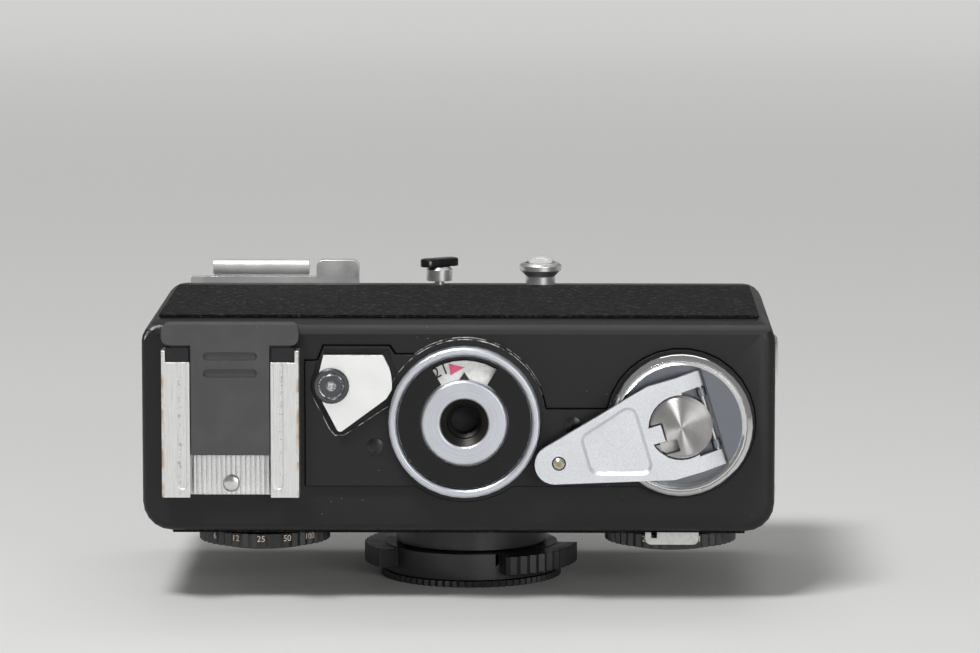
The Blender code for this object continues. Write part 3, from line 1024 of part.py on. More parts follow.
def make_top_controls():
    """Release button and collar, lens-lock button, meter window, finder and rewind release."""
    seat = TOP_Y + FLAT_GAP
    hole = BUTTON_RADIUS + RUN_GAP
    soft = COLLAR_HIGH / 3
    crown = seat + COLLAR_HIGH
    collar = [(hole, seat), (COLLAR_RADIUS, seat), (COLLAR_RADIUS, crown - soft), (COLLAR_RADIUS - soft, crown)]
    collar.append((hole, crown))
    piece("release_collar", turned(collar, "y", (BUTTON_X, MID_Z), 24), CHROME)
    inner_end = TOP_Y - SHELL_WALL - RUN_GAP
    under = TOP_Y + BUTTON_TRAVEL + RUN_GAP
    head = BUTTON_TOP
    stem = BUTTON_STEM
    button = [(0, inner_end), (stem, inner_end), (stem, under), (BUTTON_RADIUS, under), (BUTTON_RADIUS, head - soft)]
    button += [(BUTTON_RADIUS - soft, head), (stem / 2, head), (stem / 4, head - soft), (0, head - soft)]
    piece("release_button", turned(button, "y", (BUTTON_X, MID_Z), 20), CHROME, (BUTTON_X, head, MID_Z))
    head = TOP_Y + LENS_LOCK_HIGH
    button = [(0, inner_end), (LENS_LOCK_RADIUS, inner_end), (LENS_LOCK_RADIUS, head - soft)]
    button += [(LENS_LOCK_RADIUS - soft, head), (0, head)]
    piece("lens_lock_button", turned(button, "y", (LENS_LOCK_X, MID_Z), 24), CHROME, (LENS_LOCK_X, head, MID_Z))

    half = METER_WIDTH / 2
    tall = METER_DEPTH / 2
    panel = rectangle(METER_X - half, METER_X + half, MID_Z - tall, MID_Z + tall)
    piece("meter_window", prism(panel, "y", TOP_Y - GLASS_THICK, TOP_Y), GLASS)
    half = FINDER_WIDTH / 2
    tall = FINDER_TALL / 2
    panel = rectangle(FINDER_X - half, FINDER_X + half, EYEPIECE_Y - tall, EYEPIECE_Y + tall)
    piece("finder_window", prism(panel, "z", FRONT_Z, FRONT_Z + GLASS_THICK), GLASS)
    cell = [(0, FRONT_Z), (CELL_RADIUS, FRONT_Z), (CELL_RADIUS, FRONT_Z + GLASS_THICK), (0, FRONT_Z + GLASS_THICK)]
    piece("meter_cell", turned(cell, "z", (CELL_X, EYEPIECE_Y), 20), GLASS)
    wall = BACK_Z - SHELL_WALL
    tube = rectangle(FINDER_X - half, FINDER_X + half, EYEPIECE_Y - tall, EYEPIECE_Y + tall)
    tube = piece("finder_tube", prism(tube, "z", FRONT_Z + GLASS_THICK + SEAM, wall - SEAM), BLACK_METAL)
    light = rectangle(
        FINDER_X - half + WELL_WALL, FINDER_X + half - WELL_WALL,
        EYEPIECE_Y - tall + WELL_WALL, EYEPIECE_Y + tall - WELL_WALL,
    )
    combine(tube, prism(light, "z", FRONT_Z, BACK_Z))

    centre = (FINDER_X, EYEPIECE_Y)
    high = SKIN_Z + EYEPIECE_HIGH
    bore = EYEPIECE_BORE
    shelf = high - EYEPIECE_DOME / 2
    collar = [(bore, wall), (EYEPIECE_WAIST, wall), (EYEPIECE_WAIST, SKIN_Z + EYEPIECE_HIGH / 3)]
    collar += [(EYEPIECE_RADIUS, SKIN_Z + EYEPIECE_HIGH * 0.62), (EYEPIECE_RADIUS, high - soft)]
    collar += [(EYEPIECE_RADIUS - soft, high), (EYEPIECE_WAIST + SEAM, high), (EYEPIECE_WAIST + SEAM, shelf)]
    collar.append((bore, shelf))
    piece("eyepiece_collar", turned(collar, "z", centre, 24), CHROME)
    foot = shelf + FLAT_GAP
    dome = high + EYEPIECE_DOME
    lens = [(0, foot), (EYEPIECE_WAIST, foot), (EYEPIECE_WAIST, high), (EYEPIECE_WAIST * 0.72, high + EYEPIECE_DOME * 0.6)]
    lens += [(EYEPIECE_WAIST * 0.36, high + EYEPIECE_DOME * 0.9), (0, dome)]
    piece("eyepiece_glass", turned(lens, "z", centre, 16), GLASS)

    centre = (RELEASE_X, EYEPIECE_Y)
    low = SKIN_Z + RUN_GAP
    high = low + RELEASE_BOSS_HIGH
    boss = [(0, wall), (RELEASE_PIN, wall), (RELEASE_PIN, low), (RELEASE_BOSS, low), (RELEASE_BOSS, high - soft)]
    boss += [(RELEASE_BOSS - soft, high), (0, high)]
    origin = (RELEASE_X, EYEPIECE_Y, high)
    piece("rewind_release_boss", turned(boss, "z", centre, 24), CHROME, origin)
    bar_low = high + FLAT_GAP
    half = RELEASE_LENGTH / 2
    bar = rounded(-half, half, -RELEASE_BAR, RELEASE_BAR, RELEASE_BAR * 0.9, RELEASE_BAR * 0.9, 3)
    turn = (math.cos(RELEASE_TURN), math.sin(RELEASE_TURN))
    bar = [(centre[0] + x * turn[0] - y * turn[1], centre[1] + x * turn[1] + y * turn[0]) for x, y in bar]
    bar = round_rim(prism(bar, "z", bar_low, bar_low + RELEASE_BAR), "z", bar_low + RELEASE_BAR, RELEASE_BAR / 4, 2)
    piece("rewind_release_lever", bar, DARK_METAL, origin)


def make_strap_lug():
    """Strap lug on the right side: an oval loop on a shank through the shell."""
    middle = (BASE_Y + SPLIT_Y) / 2
    z = MID_Z + LUG_RISE
    half = LUG_LENGTH / 2
    wide = LUG_WIDTH / 2
    inner = HALF_WIDTH + FLAT_GAP
    outer = HALF_WIDTH + LUG_REACH
    outline = rounded(middle - wide, middle + wide, z - half, z + half, wide * 0.95, wide * 0.95, 5)
    lug = prism(outline, "x", inner, outer)
    lug = piece("strap_lug", round_rim(lug, "x", outer, LUG_REACH * 0.8, 4), CHROME)
    slot = rounded(middle - LUG_SLOT / 2, middle + LUG_SLOT / 2, z - half + LUG_SHANK, z + half - LUG_SHANK, SEAM, SEAM, 2)
    combine(lug, prism(slot, "x", inner - OVERCUT, outer + OVERCUT))


def main():
    clear_scene()
    frame("camera", (-LUG_REACH / 2, -(LOWEST_Y + HIGHEST_Y) / 2, 0))
    make_shells()
    make_base()
    make_shoe()
    make_rewind()
    make_film_chamber()
    make_lens()
    make_dials()
    make_wind_lever()
    make_top_controls()
    make_strap_lug()


main()
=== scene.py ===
import json
import math

import bmesh
import bpy
import numpy as np
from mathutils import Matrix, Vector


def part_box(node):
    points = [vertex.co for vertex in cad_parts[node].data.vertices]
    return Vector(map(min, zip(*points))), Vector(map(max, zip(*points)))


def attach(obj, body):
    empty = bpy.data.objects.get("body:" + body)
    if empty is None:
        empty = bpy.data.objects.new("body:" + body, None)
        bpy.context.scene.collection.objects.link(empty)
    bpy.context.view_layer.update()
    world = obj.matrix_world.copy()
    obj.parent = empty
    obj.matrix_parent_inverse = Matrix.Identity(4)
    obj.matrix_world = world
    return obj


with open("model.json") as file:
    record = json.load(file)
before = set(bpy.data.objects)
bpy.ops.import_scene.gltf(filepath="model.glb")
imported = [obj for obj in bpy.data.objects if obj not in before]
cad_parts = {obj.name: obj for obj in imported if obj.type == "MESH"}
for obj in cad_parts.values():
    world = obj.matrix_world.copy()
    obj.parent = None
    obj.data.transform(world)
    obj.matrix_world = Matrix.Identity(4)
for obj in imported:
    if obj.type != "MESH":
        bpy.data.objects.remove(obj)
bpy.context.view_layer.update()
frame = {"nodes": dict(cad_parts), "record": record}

MM = 0.001
TURN = 2 * math.pi


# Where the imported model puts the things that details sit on


def middle(node):
    """Centre of a node's box."""
    low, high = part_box(node)
    return (np.array(low) + np.array(high)) / 2


RIGHT = np.array((1.0, 0.0, 0.0))
TOWARDS_TOP = np.array((0.0, 1.0, 0.0))
UP = np.array((0.0, 0.0, 1.0))
COUNTER = middle("tripod_bush")
KNOB = middle("rewind_hub")
LENS = middle("lens_tube")
SHOE = middle("shoe_rails")
LOCK = middle("lock_pivot_screw")
PLATE_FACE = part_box("base_plate")[0][1]
BASE_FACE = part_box("back_cover")[0][1]
RAIL_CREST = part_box("shoe_rails")[0][1]


# How far from its middle a piece's finish changes, and half the width of that border


RAIL_HALF = 10.45 * MM
RAIL_GROOVE = 7.75 * MM
BUSH_BORE = 3.7 * MM
SCREW_HEAD = 2.75 * MM
PIN_CORE = 0.42 * MM
KNOB_INSIDE = 9.3 * MM
BLUR = 0.05 * MM


# Building materials from nodes


class Finish:
    """A material with a Principled shader and short calls to add nodes to it."""

    def __init__(self, name, colour, roughness, metallic=0.0):
        self.material = bpy.data.materials.new(name)
        self.material.use_nodes = True
        self.tree = self.material.node_tree
        self.shader = self.tree.nodes["Principled BSDF"]
        self.set("Base Color", (*colour, 1))
        self.set("Roughness", roughness)
        self.set("Metallic", metallic)
        self.place = self.add("ShaderNodeTexCoord").outputs["Object"]

    def set(self, socket, value):
        """Set a shader socket, or link it to another node's output."""
        if isinstance(value, bpy.types.NodeSocket):
            self.tree.links.new(value, self.shader.inputs[socket])
        else:
            self.shader.inputs[socket].default_value = value

    def add(self, kind, inputs=(), **settings):
        """Add a node, with its settings and its inputs as values or links."""
        node = self.tree.nodes.new(kind)
        for key, value in settings.items():
            setattr(node, key, value)
        for key, value in dict(inputs).items():
            if isinstance(value, bpy.types.NodeSocket):
                self.tree.links.new(value, node.inputs[key])
            else:
                node.inputs[key].default_value = value
        return node

    def noise(self, scale, detail=2.0, vector=None, roughness=0.5):
        """Noise from 0 to 1, with this many waves to a metre."""
        values = {"Vector": vector or self.place, "Scale": scale, "Detail": detail, "Roughness": roughness}
        return self.add("ShaderNodeTexNoise", values).outputs["Fac"]

    def cells(self, scale, feature="F1", vector=None):
        """Distance to the cells' centres or edges, with this many cells to a metre."""
        values = {"Vector": vector or self.place, "Scale": scale}
        return self.add("ShaderNodeTexVoronoi", values, feature=feature).outputs["Distance"]

    def remap(self, value, low, high, to_low=0.0, to_high=1.0):
        """Carry a value from one range to another, held at its ends."""
        values = {"Value": value, "From Min": low, "From Max": high, "To Min": to_low, "To Max": to_high}
        return self.add("ShaderNodeMapRange", values).outputs["Result"]

    def math(self, operation, first, second=0.0):
        """One calculation with one or two values."""
        return self.add("ShaderNodeMath", {0: first, 1: second}, operation=operation).outputs["Value"]

    def mix(self, amount, first, second):
        """Mix two colours by an amount."""
        node = self.add("ShaderNodeMix", {0: amount}, data_type="RGBA")
        for index, value in ((6, first), (7, second)):
            if isinstance(value, bpy.types.NodeSocket):
                self.tree.links.new(value, node.inputs[index])
            else:
                node.inputs[index].default_value = (*value, 1)
        return node.outputs[2]

    def mapped(self, scale, shift=(0, 0, 0)):
        """Object coordinates, shifted and then scaled axis by axis."""
        moved = self.add("ShaderNodeVectorMath", {0: self.place, 1: shift}, operation="SUBTRACT")
        values = {0: moved.outputs["Vector"], 1: scale}
        return self.add("ShaderNodeVectorMath", values, operation="MULTIPLY").outputs["Vector"]

    def radius(self, centre, keep):
        """Distance from an axis through a centre; keep holds 1 for the two directions across it."""
        across = self.mapped(keep, centre)
        return self.add("ShaderNodeVectorMath", {0: across}, operation="LENGTH").outputs["Value"]

    def colour(self):
        """The base colour as it stands: a link's source, or the plain value."""
        socket = self.shader.inputs["Base Color"]
        return socket.links[0].from_socket if socket.links else tuple(socket.default_value)[:3]

    def bump(self, height, distance):
        """Turn a height into relief of this depth in metres, over any relief already there."""
        values = {"Height": height, "Distance": distance}
        linked = self.shader.inputs["Normal"].links
        if linked:
            values["Normal"] = linked[0].from_socket
        self.set("Normal", self.add("ShaderNodeBump", values).outputs["Normal"])

    def uneven_gloss(self, rough, scale, detail):
        """Let the roughness wander a little about a value, with this many waves to a metre."""
        self.set("Roughness", self.remap(self.noise(scale, detail), 0.3, 0.7, rough - 0.06, rough + 0.08))


DUST = (0.42, 0.41, 0.39)


def dusty(finish, colour, amount):
    """Scatter fine pale specks over a base colour: small cells, kept only where a slower noise is high."""
    speck = finish.remap(finish.cells(700), 0.055, 0.03)
    where = finish.remap(finish.noise(140, 3), 0.5, 0.62)
    share = finish.math("MULTIPLY", finish.math("MULTIPLY", speck, where), amount)
    finish.set("Base Color", finish.mix(share, colour, DUST))
    return finish


def black_paint(name, colour=(0.016, 0.016, 0.017), rough=0.36, dust=0.7):
    """Satin black paint: a soft orange-peel relief, patchy sheen and a few specks of dust."""
    finish = Finish(name, colour, rough)
    patch = finish.noise(60, 4)
    fine = finish.noise(2600, 2)
    blend = finish.math("ADD", finish.math("MULTIPLY", patch, 0.6), finish.math("MULTIPLY", fine, 0.4))
    finish.set("Roughness", finish.remap(blend, 0.3, 0.7, rough - 0.05, rough + 0.09))
    finish.bump(finish.noise(1500, 2), 0.004 * MM)
    finish.set("Specular IOR Level", 0.24)
    return dusty(finish, colour, dust)


def leatherette(name):
    """Black leatherette: uneven pebbles, dull in the valleys, glossier on some tops, which also get a paler
    base colour as a painted glint.
    """
    finish = Finish(name, (0.006, 0.006, 0.0063), 0.6)
    waves = {"Vector": finish.place, "Scale": 700.0, "Detail": 2.0}
    wander = finish.add("ShaderNodeTexNoise", waves).outputs["Color"]
    shift = finish.add("ShaderNodeVectorMath", {0: wander, 1: (0.5, 0.5, 0.5)}, operation="SUBTRACT")
    reach = {0: shift.outputs["Vector"], "Scale": 0.9 * MM}
    small = finish.add("ShaderNodeVectorMath", reach, operation="SCALE").outputs["Vector"]
    warped = finish.add("ShaderNodeVectorMath", {0: finish.place, 1: small}, operation="ADD")
    edge = finish.cells(1050, "DISTANCE_TO_EDGE", warped.outputs["Vector"])
    pebble = finish.remap(edge, 0.02, 0.34)
    height = finish.math("MULTIPLY", pebble, finish.remap(finish.noise(600, 2), 0.3, 0.7, 0.4, 1.0))
    finish.bump(height, 0.22 * MM)
    finish.bump(finish.noise(9000, 2), 0.01 * MM)
    gloss_and_glint = finish.math("MULTIPLY", pebble, finish.remap(finish.noise(850, 3), 0.4, 0.64))
    finish.set("Roughness", finish.remap(gloss_and_glint, 0.0, 1.0, 0.72, 0.4))
    finish.set("Specular IOR Level", 0.15)
    # The paler base colour on the glossy pebbles is a painted glint.
    finish.set("Base Color", finish.mix(gloss_and_glint, (0.004, 0.004, 0.0042), (0.02, 0.02, 0.0202)))
    return finish


GRAIN = 5200.0


def satin(name, colour, rough, centre=None, keep=(1, 0, 1), depth=0.004, valley=0.86):
    """Satin metal: fine grain, or turned rings where an axis's centre is given, darker in the valleys."""
    finish = Finish(name, colour, rough, 1.0)
    if centre is None:
        grain = finish.noise(GRAIN, 3)
    else:
        across = finish.radius(tuple(centre), keep)
        waves = {"W": across, "Scale": GRAIN, "Detail": 3.0}
        grain = finish.add("ShaderNodeTexNoise", waves, noise_dimensions="1D").outputs["Fac"]
    finish.bump(grain, depth * MM)
    dull = tuple(value * valley for value in colour)
    finish.set("Base Color", finish.mix(finish.remap(grain, 0.35, 0.65), dull, colour))
    finish.uneven_gloss(rough, 260, 4)
    return finish


def chrome(name):
    """Polished chrome with faint wear in its gloss."""
    finish = Finish(name, (0.80, 0.80, 0.79), 0.1, 1.0)
    finish.set("Roughness", finish.remap(finish.noise(420, 4), 0.35, 0.75, 0.06, 0.16))
    finish.bump(finish.noise(900, 2), 0.0015 * MM)
    return finish


def spun(name, colour, rough, centre):
    """Spun metal: faint turned rings about a centre, with the gloss drawn out across them."""
    finish = satin(name, colour, rough, centre, depth=0.002)
    finish.set("Tangent", finish.mapped((1, 0, 1), tuple(centre)))
    finish.set("Anisotropic", 1.0)
    return finish


def bored(finish, centre, radius, inner):
    """Give a turned piece another colour inside a radius, as the oiled bore of a threaded bush has."""
    across = finish.radius(tuple(centre), (1, 0, 1))
    inside = finish.remap(across, radius + BLUR, radius - BLUR)
    finish.set("Base Color", finish.mix(inside, finish.colour(), inner))
    return finish


HIGHLIGHT_RING_AT = 0.66


def ringed(name, centre, radius):
    """A dark turned screw head with painted highlights: a thin pale ring and a pale middle, by distance
    from its axis, broken into spots.
    """
    finish = satin(name, (0.12, 0.125, 0.135), 0.3, centre)
    across = finish.math("DIVIDE", finish.radius(tuple(centre), (1, 0, 1)), radius)
    outer = finish.remap(finish.math("ABSOLUTE", finish.math("SUBTRACT", across, HIGHLIGHT_RING_AT)), 0.07, 0.03)
    inner = finish.remap(across, 0.3, 0.22)
    glint_spots = finish.remap(finish.noise(3000, 2), 0.35, 0.6)
    # Painted highlights: the pale ring and middle stand in for light caught by the turned head.
    bright = finish.math("MULTIPLY", finish.math("MAXIMUM", outer, inner), glint_spots)
    finish.set("Base Color", finish.mix(bright, finish.colour(), (0.8, 0.8, 0.79)))
    return finish


def worn_rails(name, centre, half, groove_at, crest):
    """Plated rails: fine scratches along them, dirt most of all by their grooves, and brass where their
    outer sides meet their crest."""
    finish = Finish(name, (0.8, 0.8, 0.79), 0.4, 1.0)
    scratch = finish.noise(1.0, 4, finish.mapped((GRAIN, GRAIN, GRAIN / 20)))
    finish.bump(scratch, 0.004 * MM)
    from_crest = finish.mapped((1, 1, 0), (centre[0], crest, 0))
    offset = finish.add("ShaderNodeSeparateXYZ", {"Vector": from_crest})
    beside = finish.math("ABSOLUTE", offset.outputs["X"])
    near_crest = finish.remap(offset.outputs["Y"], 0.7 * MM, 0.2 * MM)
    edge = finish.math("MULTIPLY", near_crest, finish.remap(beside, half - 0.5 * MM, half - 0.1 * MM))
    worn = finish.math("MULTIPLY", edge, finish.remap(finish.noise(380, 5, roughness=0.65), 0.46, 0.6))
    from_groove = finish.math("ABSOLUTE", finish.math("SUBTRACT", beside, groove_at))
    groove = finish.remap(from_groove, 0.5 * MM, 0.1 * MM, 0.0, 0.1)
    dirt = finish.remap(finish.math("ADD", finish.noise(1500, 5, roughness=0.75), groove), 0.62, 0.72)
    plated = finish.mix(finish.remap(scratch, 0.3, 0.75), (0.86, 0.86, 0.85), (0.7, 0.7, 0.69))
    brassy = finish.mix(finish.math("MULTIPLY", worn, 0.8), plated, (0.5, 0.3, 0.13))
    finish.set("Base Color", finish.mix(finish.math("MULTIPLY", dirt, 0.5), brassy, (0.16, 0.13, 0.1)))
    finish.set("Roughness", finish.remap(scratch, 0.3, 0.7, 0.32, 0.52))
    return finish


def moulded(name, colour, rough):
    """Moulded plastic: fine matt grain and slightly paler rubbed patches."""
    finish = Finish(name, colour, rough)
    rubbed = finish.remap(finish.noise(240, 5), 0.45, 0.75)
    pale = tuple(value * 1.25 for value in colour)
    dusty(finish, finish.mix(rubbed, colour, pale), 0.5)
    finish.bump(finish.noise(4200, 3), 0.01 * MM)
    finish.uneven_gloss(rough, 700, 3)
    return finish


def anodised(name, rough=0.34):
    """Black anodised metal with a fine grain."""
    colour = (0.014, 0.014, 0.015)
    finish = Finish(name, colour, rough)
    finish.set("Specular IOR Level", 0.6)
    finish.bump(finish.noise(3800, 2), 0.004 * MM)
    finish.uneven_gloss(rough, 500, 3)
    return dusty(finish, colour, 0.35)


def clear_glass(name, tint):
    """Coated glass: clear, with a faint tint and a soft film in its gloss."""
    finish = Finish(name, tint, 0.02)
    finish.set("Transmission Weight", 1.0)
    finish.set("IOR", 1.52)
    finish.set("Roughness", finish.remap(finish.noise(300, 3), 0.4, 0.8, 0.01, 0.05))
    return finish


def bare_edge(name):
    """Bright metal that breaks through black paint in short runs: partly wear, partly a painted highlight
    along the edge.
    """
    finish = Finish(name, (0.6, 0.6, 0.59), 0.34)
    bare_and_glint = finish.remap(finish.noise(420, 4, roughness=0.7), 0.44, 0.6)
    # The pale patches stand for bare metal and also for the edge's highlight, painted in.
    finish.set("Base Color", finish.mix(bare_and_glint, (0.02, 0.02, 0.021), (0.85, 0.84, 0.82)))
    finish.set("Metallic", bare_and_glint)
    return finish


def printed(name, colour, rough=0.5):
    """Painted or printed marking with a slightly uneven film."""
    finish = Finish(name, colour, rough)
    thin = tuple(value * 0.8 for value in colour)
    finish.set("Base Color", finish.mix(finish.remap(finish.noise(1800, 3), 0.4, 0.75), colour, thin))
    return finish


def knob_chrome(name, centre, inside):
    """Chrome on a knob's rim, and a duller grey satin on the plate inside it."""
    finish = chrome(name)
    within = finish.remap(finish.radius(tuple(centre), (1, 0, 1)), inside + BLUR, inside - BLUR)
    finish.set("Base Color", finish.mix(within, (0.7, 0.7, 0.7), (0.2, 0.21, 0.235)))
    finish.set("Roughness", finish.remap(within, 0.0, 1.0, 0.09, 0.36))
    return finish


FLANGE = (0.66, 0.68, 0.73)
OILED = (0.05, 0.048, 0.045)
PIN_PALE = (0.72, 0.72, 0.68)
PIN_BRASS = (0.42, 0.32, 0.12)
BRIGHT = satin("bright satin metal", (0.9, 0.9, 0.89), 0.36)
TURNED = satin("turned satin metal", FLANGE, 0.42, COUNTER, depth=0.01)
FINISHES = {
    "black_paint": black_paint("satin black paint"),
    "plate_paint": black_paint("base plate paint", rough=0.3, dust=0.75),
    "leatherette": leatherette("pebbled leatherette"),
    "turned_satin": bored(TURNED, COUNTER, BUSH_BORE, OILED),
    "counter_black": black_paint("counter black", (0.008, 0.008, 0.0085), 0.4, 0.4),
    "dial_white": printed("counter white", (0.84, 0.84, 0.82)),
    "lever_satin": satin("lock lever satin", (0.93, 0.93, 0.92), 0.46, valley=0.98),
    "screw_satin": ringed("turned screw with painted highlights", LOCK, SCREW_HEAD),
    "worn_rail": worn_rails("worn shoe rails", SHOE, RAIL_HALF, RAIL_GROOVE, RAIL_CREST),
    "ribbed_metal": satin("ribbed shoe floor", (0.9, 0.9, 0.9), 0.42),
    "contact_metal": satin("shoe contact", (0.74, 0.74, 0.73), 0.2),
    "grey_plastic": moulded("grey shoe cover", (0.05, 0.05, 0.052), 0.5),
    "chrome": chrome("polished chrome"),
    "spun_metal": spun("spun hub", (0.56, 0.55, 0.54), 0.46, KNOB),
    "inner_metal": satin("inner steel", (0.55, 0.55, 0.55), 0.32),
    "crank_satin": satin("crank satin", (0.8, 0.815, 0.85), 0.44, depth=0.016),
    "brass": bored(satin("pale pin", PIN_PALE, 0.3), middle("crank_tip_pin"), PIN_CORE, PIN_BRASS),
    "inner_black": moulded("matt inner black", (0.012, 0.012, 0.012), 0.62),
    "mount_ring": satin("lens mount ring", (0.3, 0.3, 0.3), 0.32, LENS, (1, 1, 0)),
    "lens_black": anodised("lens black"),
    "iris_dark": satin("iris steel", (0.08, 0.08, 0.085), 0.35),
    "lens_glass": clear_glass("lens glass", (0.85, 0.88, 0.95)),
    "dial_black": anodised("dial black", rough=0.3),
    "bracket_satin": printed("bracket white", (0.6, 0.6, 0.58), 0.4),
    "window_glass": clear_glass("window glass", (0.92, 0.94, 0.94)),
    "dark_metal": satin("dark steel", (0.05, 0.05, 0.053), 0.24),
}
NODE_FINISHES = {
    "rewind_knob": knob_chrome("knob chrome", KNOB, KNOB_INSIDE),
    "left_shoe_spring": FINISHES["dark_metal"],
    "right_shoe_spring": FINISHES["dark_metal"],
    "wind_lever_tip": BRIGHT,
    "strap_lug": BRIGHT,
    "eyepiece_collar": BRIGHT,
    "rewind_release_boss": BRIGHT,
    "wind_lever": satin("wind lever satin", (0.8, 0.8, 0.79), 0.4),
}

SOFT_EDGES = {
    "back_cover": 0.12, "front_shell": 0.15, "top_cover": 0.15, "base_plate": 0.22, "counter_rim": 0.12,
    "counter_face": 0.06, "tripod_bush": 0.12, "lock_lever": 0.16, "lock_pivot_screw": 0.1,
    "shoe_rails": 0.16, "shoe_ribbed_floor": 0.05, "shoe_contact": 0.1, "shoe_cover": 0.22,
    "rewind_knob": 0.12, "rewind_hub": 0.1, "rewind_fork": 0.06, "rewind_crank": 0.2, "crank_pin": 0.04,
    "crank_tip_pin": 0.06, "focus_ring": 0.08, "front_ring": 0.05, "front_cell": 0.06, "lens_mount": 0.12,
    "speed_dial": 0.06, "aperture_dial": 0.06, "dial_bracket": 0.1, "wind_lever": 0.2,
    "wind_lever_cap": 0.12, "wind_lever_tip": 0.1, "release_collar": 0.12, "release_button": 0.08,
    "lens_lock_button": 0.12, "rewind_release_lever": 0.15, "rewind_release_boss": 0.08,
    "strap_lug": 0.15, "eyepiece_collar": 0.08, "film_gate_block": 0.12, "pressure_plate": 0.1,
    "sprocket": 0.06, "take_up_spool": 0.08,
}
JOIN_WITHIN = 0.002 * MM
SOFTEN_OVER = math.radians(38)
SMOOTH_BELOW = math.radians(32)


def smooth_shading():
    """A node group that drops stored normals and shades every face smooth but for edges over an angle."""
    group = bpy.data.node_groups.new("smooth shading", "GeometryNodeTree")
    for side in ("INPUT", "OUTPUT"):
        group.interface.new_socket("Geometry", in_out=side, socket_type="NodeSocketGeometry")
    start = group.nodes.new("NodeGroupInput")
    bare = group.nodes.new("GeometryNodeRemoveAttribute")
    bare.inputs["Name"].default_value = "custom_normal"
    faces = group.nodes.new("GeometryNodeSetShadeSmooth")
    angle = group.nodes.new("GeometryNodeInputMeshEdgeAngle")
    over = group.nodes.new("FunctionNodeCompare")
    over.inputs["B"].default_value = SMOOTH_BELOW
    edges = group.nodes.new("GeometryNodeSetShadeSmooth")
    edges.domain = "EDGE"
    edges.inputs["Shade Smooth"].default_value = False
    end = group.nodes.new("NodeGroupOutput")
    for first, second in ((start, bare), (bare, faces), (faces, edges), (edges, end)):
        group.links.new(first.outputs["Geometry"], second.inputs["Geometry"])
    group.links.new(angle.outputs["Unsigned Angle"], over.inputs["A"])
    group.links.new(over.outputs["Result"], edges.inputs["Selection"])
    return group


def dress_nodes():
    """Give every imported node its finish, shade its round faces smooth, and soften the edges that show."""
    smooth = smooth_shading()
    for entry in frame["record"]["subparts"]:
        thing = frame["nodes"][entry["node"]]
        thing.data.materials.clear()
        finish = NODE_FINISHES.get(entry["node"]) or FINISHES[entry["material_slot"]]
        thing.data.materials.append(finish.material)
        merge = thing.modifiers.new("join faces", "WELD")
        merge.merge_threshold = JOIN_WITHIN
        thing.modifiers.new("smooth shading", "NODES").node_group = smooth
        width = SOFT_EDGES.get(entry["node"])
        if width:
            soft = thing.modifiers.new("soft edges", "BEVEL")
            soft.width = width * MM
            soft.segments = 2
            soft.limit_method = "ANGLE"
            soft.angle_limit = SOFTEN_OVER
            soft.harden_normals = True


dress_nodes()


# Marks, screws, the thread and worn edges, which also carry painted highlights


PIECE_JOIN = 0.0004 * MM
PIECE_SHARP = math.radians(40)


def add_piece(name, points, faces, body, slot, finish=None):
    """Put points and faces in a mesh, join what meets, turn faces outwards, and ride it on a body."""
    mesh = bpy.data.meshes.new(name)
    mesh.from_pydata(np.reshape(points, (-1, 3)).tolist(), [], faces)
    work = bmesh.new()
    work.from_mesh(mesh)
    bmesh.ops.remove_doubles(work, verts=work.verts, dist=PIECE_JOIN)
    bmesh.ops.recalc_face_normals(work, faces=work.faces)
    work.to_mesh(mesh)
    work.free()
    mesh.shade_smooth()
    mesh.set_sharp_from_angle(angle=PIECE_SHARP)
    mesh.materials.append((finish or FINISHES[slot]).material)
    thing = bpy.data.objects.new(name, mesh)
    bpy.context.collection.objects.link(thing)
    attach(thing, body)
    return thing


def ring_faces(rings, sides):
    """Corners of the four-sided faces that join each ring of points to the next."""
    index = np.arange(rings * sides).reshape(rings, sides)
    index = np.concatenate([index, index[:, :1]], axis=1)
    corners = [index[:-1, :-1], index[1:, :-1], index[1:, 1:], index[:-1, 1:]]
    return np.stack(corners, axis=-1).reshape(-1, 4).tolist()


def placed(local, centre, right, up):
    """Carry local points (across, up, out) to a place: centre plus each amount times its direction."""
    out = np.cross(right, up)
    return np.asarray(centre) + local @ np.stack([right, up, out])


SIDE_STRIPS = 8
STRIP_STEPS = 12
SLOT_HALF = 0.16
SLOT_DEEP = 0.8
HEAD_FALL = 0.45


def slotted_screw(name, centre, right, up, radius, height, body, slot):
    """A screw head in strips of constant x: a strip is as long as the circle is wide there, its top falls
    with the square of the distance from the middle, and the strips between the slot's walls lie deeper."""
    half = radius * SLOT_HALF
    wall = np.array([half, half])
    side = np.linspace(half, radius, SIDE_STRIPS + 1)[1:]
    across = np.concatenate([-side[::-1], -wall, wall, side])
    depth = np.zeros(len(across))
    depth[len(side) + 1:len(side) + 3] = height * SLOT_DEEP
    reach = np.sqrt(np.maximum(radius ** 2 - across ** 2, 0))
    along = np.linspace(-1, 1, STRIP_STEPS + 1)
    rim = np.concatenate([along, along[::-1]])
    lower = np.concatenate([np.zeros(len(along)), np.ones(len(along))])
    x = np.repeat(across[:, None], len(rim), axis=1)
    y = reach[:, None] * rim
    top = height * (1 - HEAD_FALL * (x ** 2 + y ** 2) / radius ** 2) - depth[:, None]
    z = np.where(lower > 0, -height, top)
    local = np.stack([x, y, z], axis=-1)
    faces = ring_faces(len(across), len(rim))
    return add_piece(name, placed(local, centre, right, up), faces, body, slot)


THREAD_STEPS = 32
THREAD_FADE = 0.8
RIDGE_TALL = 0.42
RIDGE_FOOT = 0.46
RIDGE_CREST = 0.06
RIDGE_SUNK = 0.01 * MM


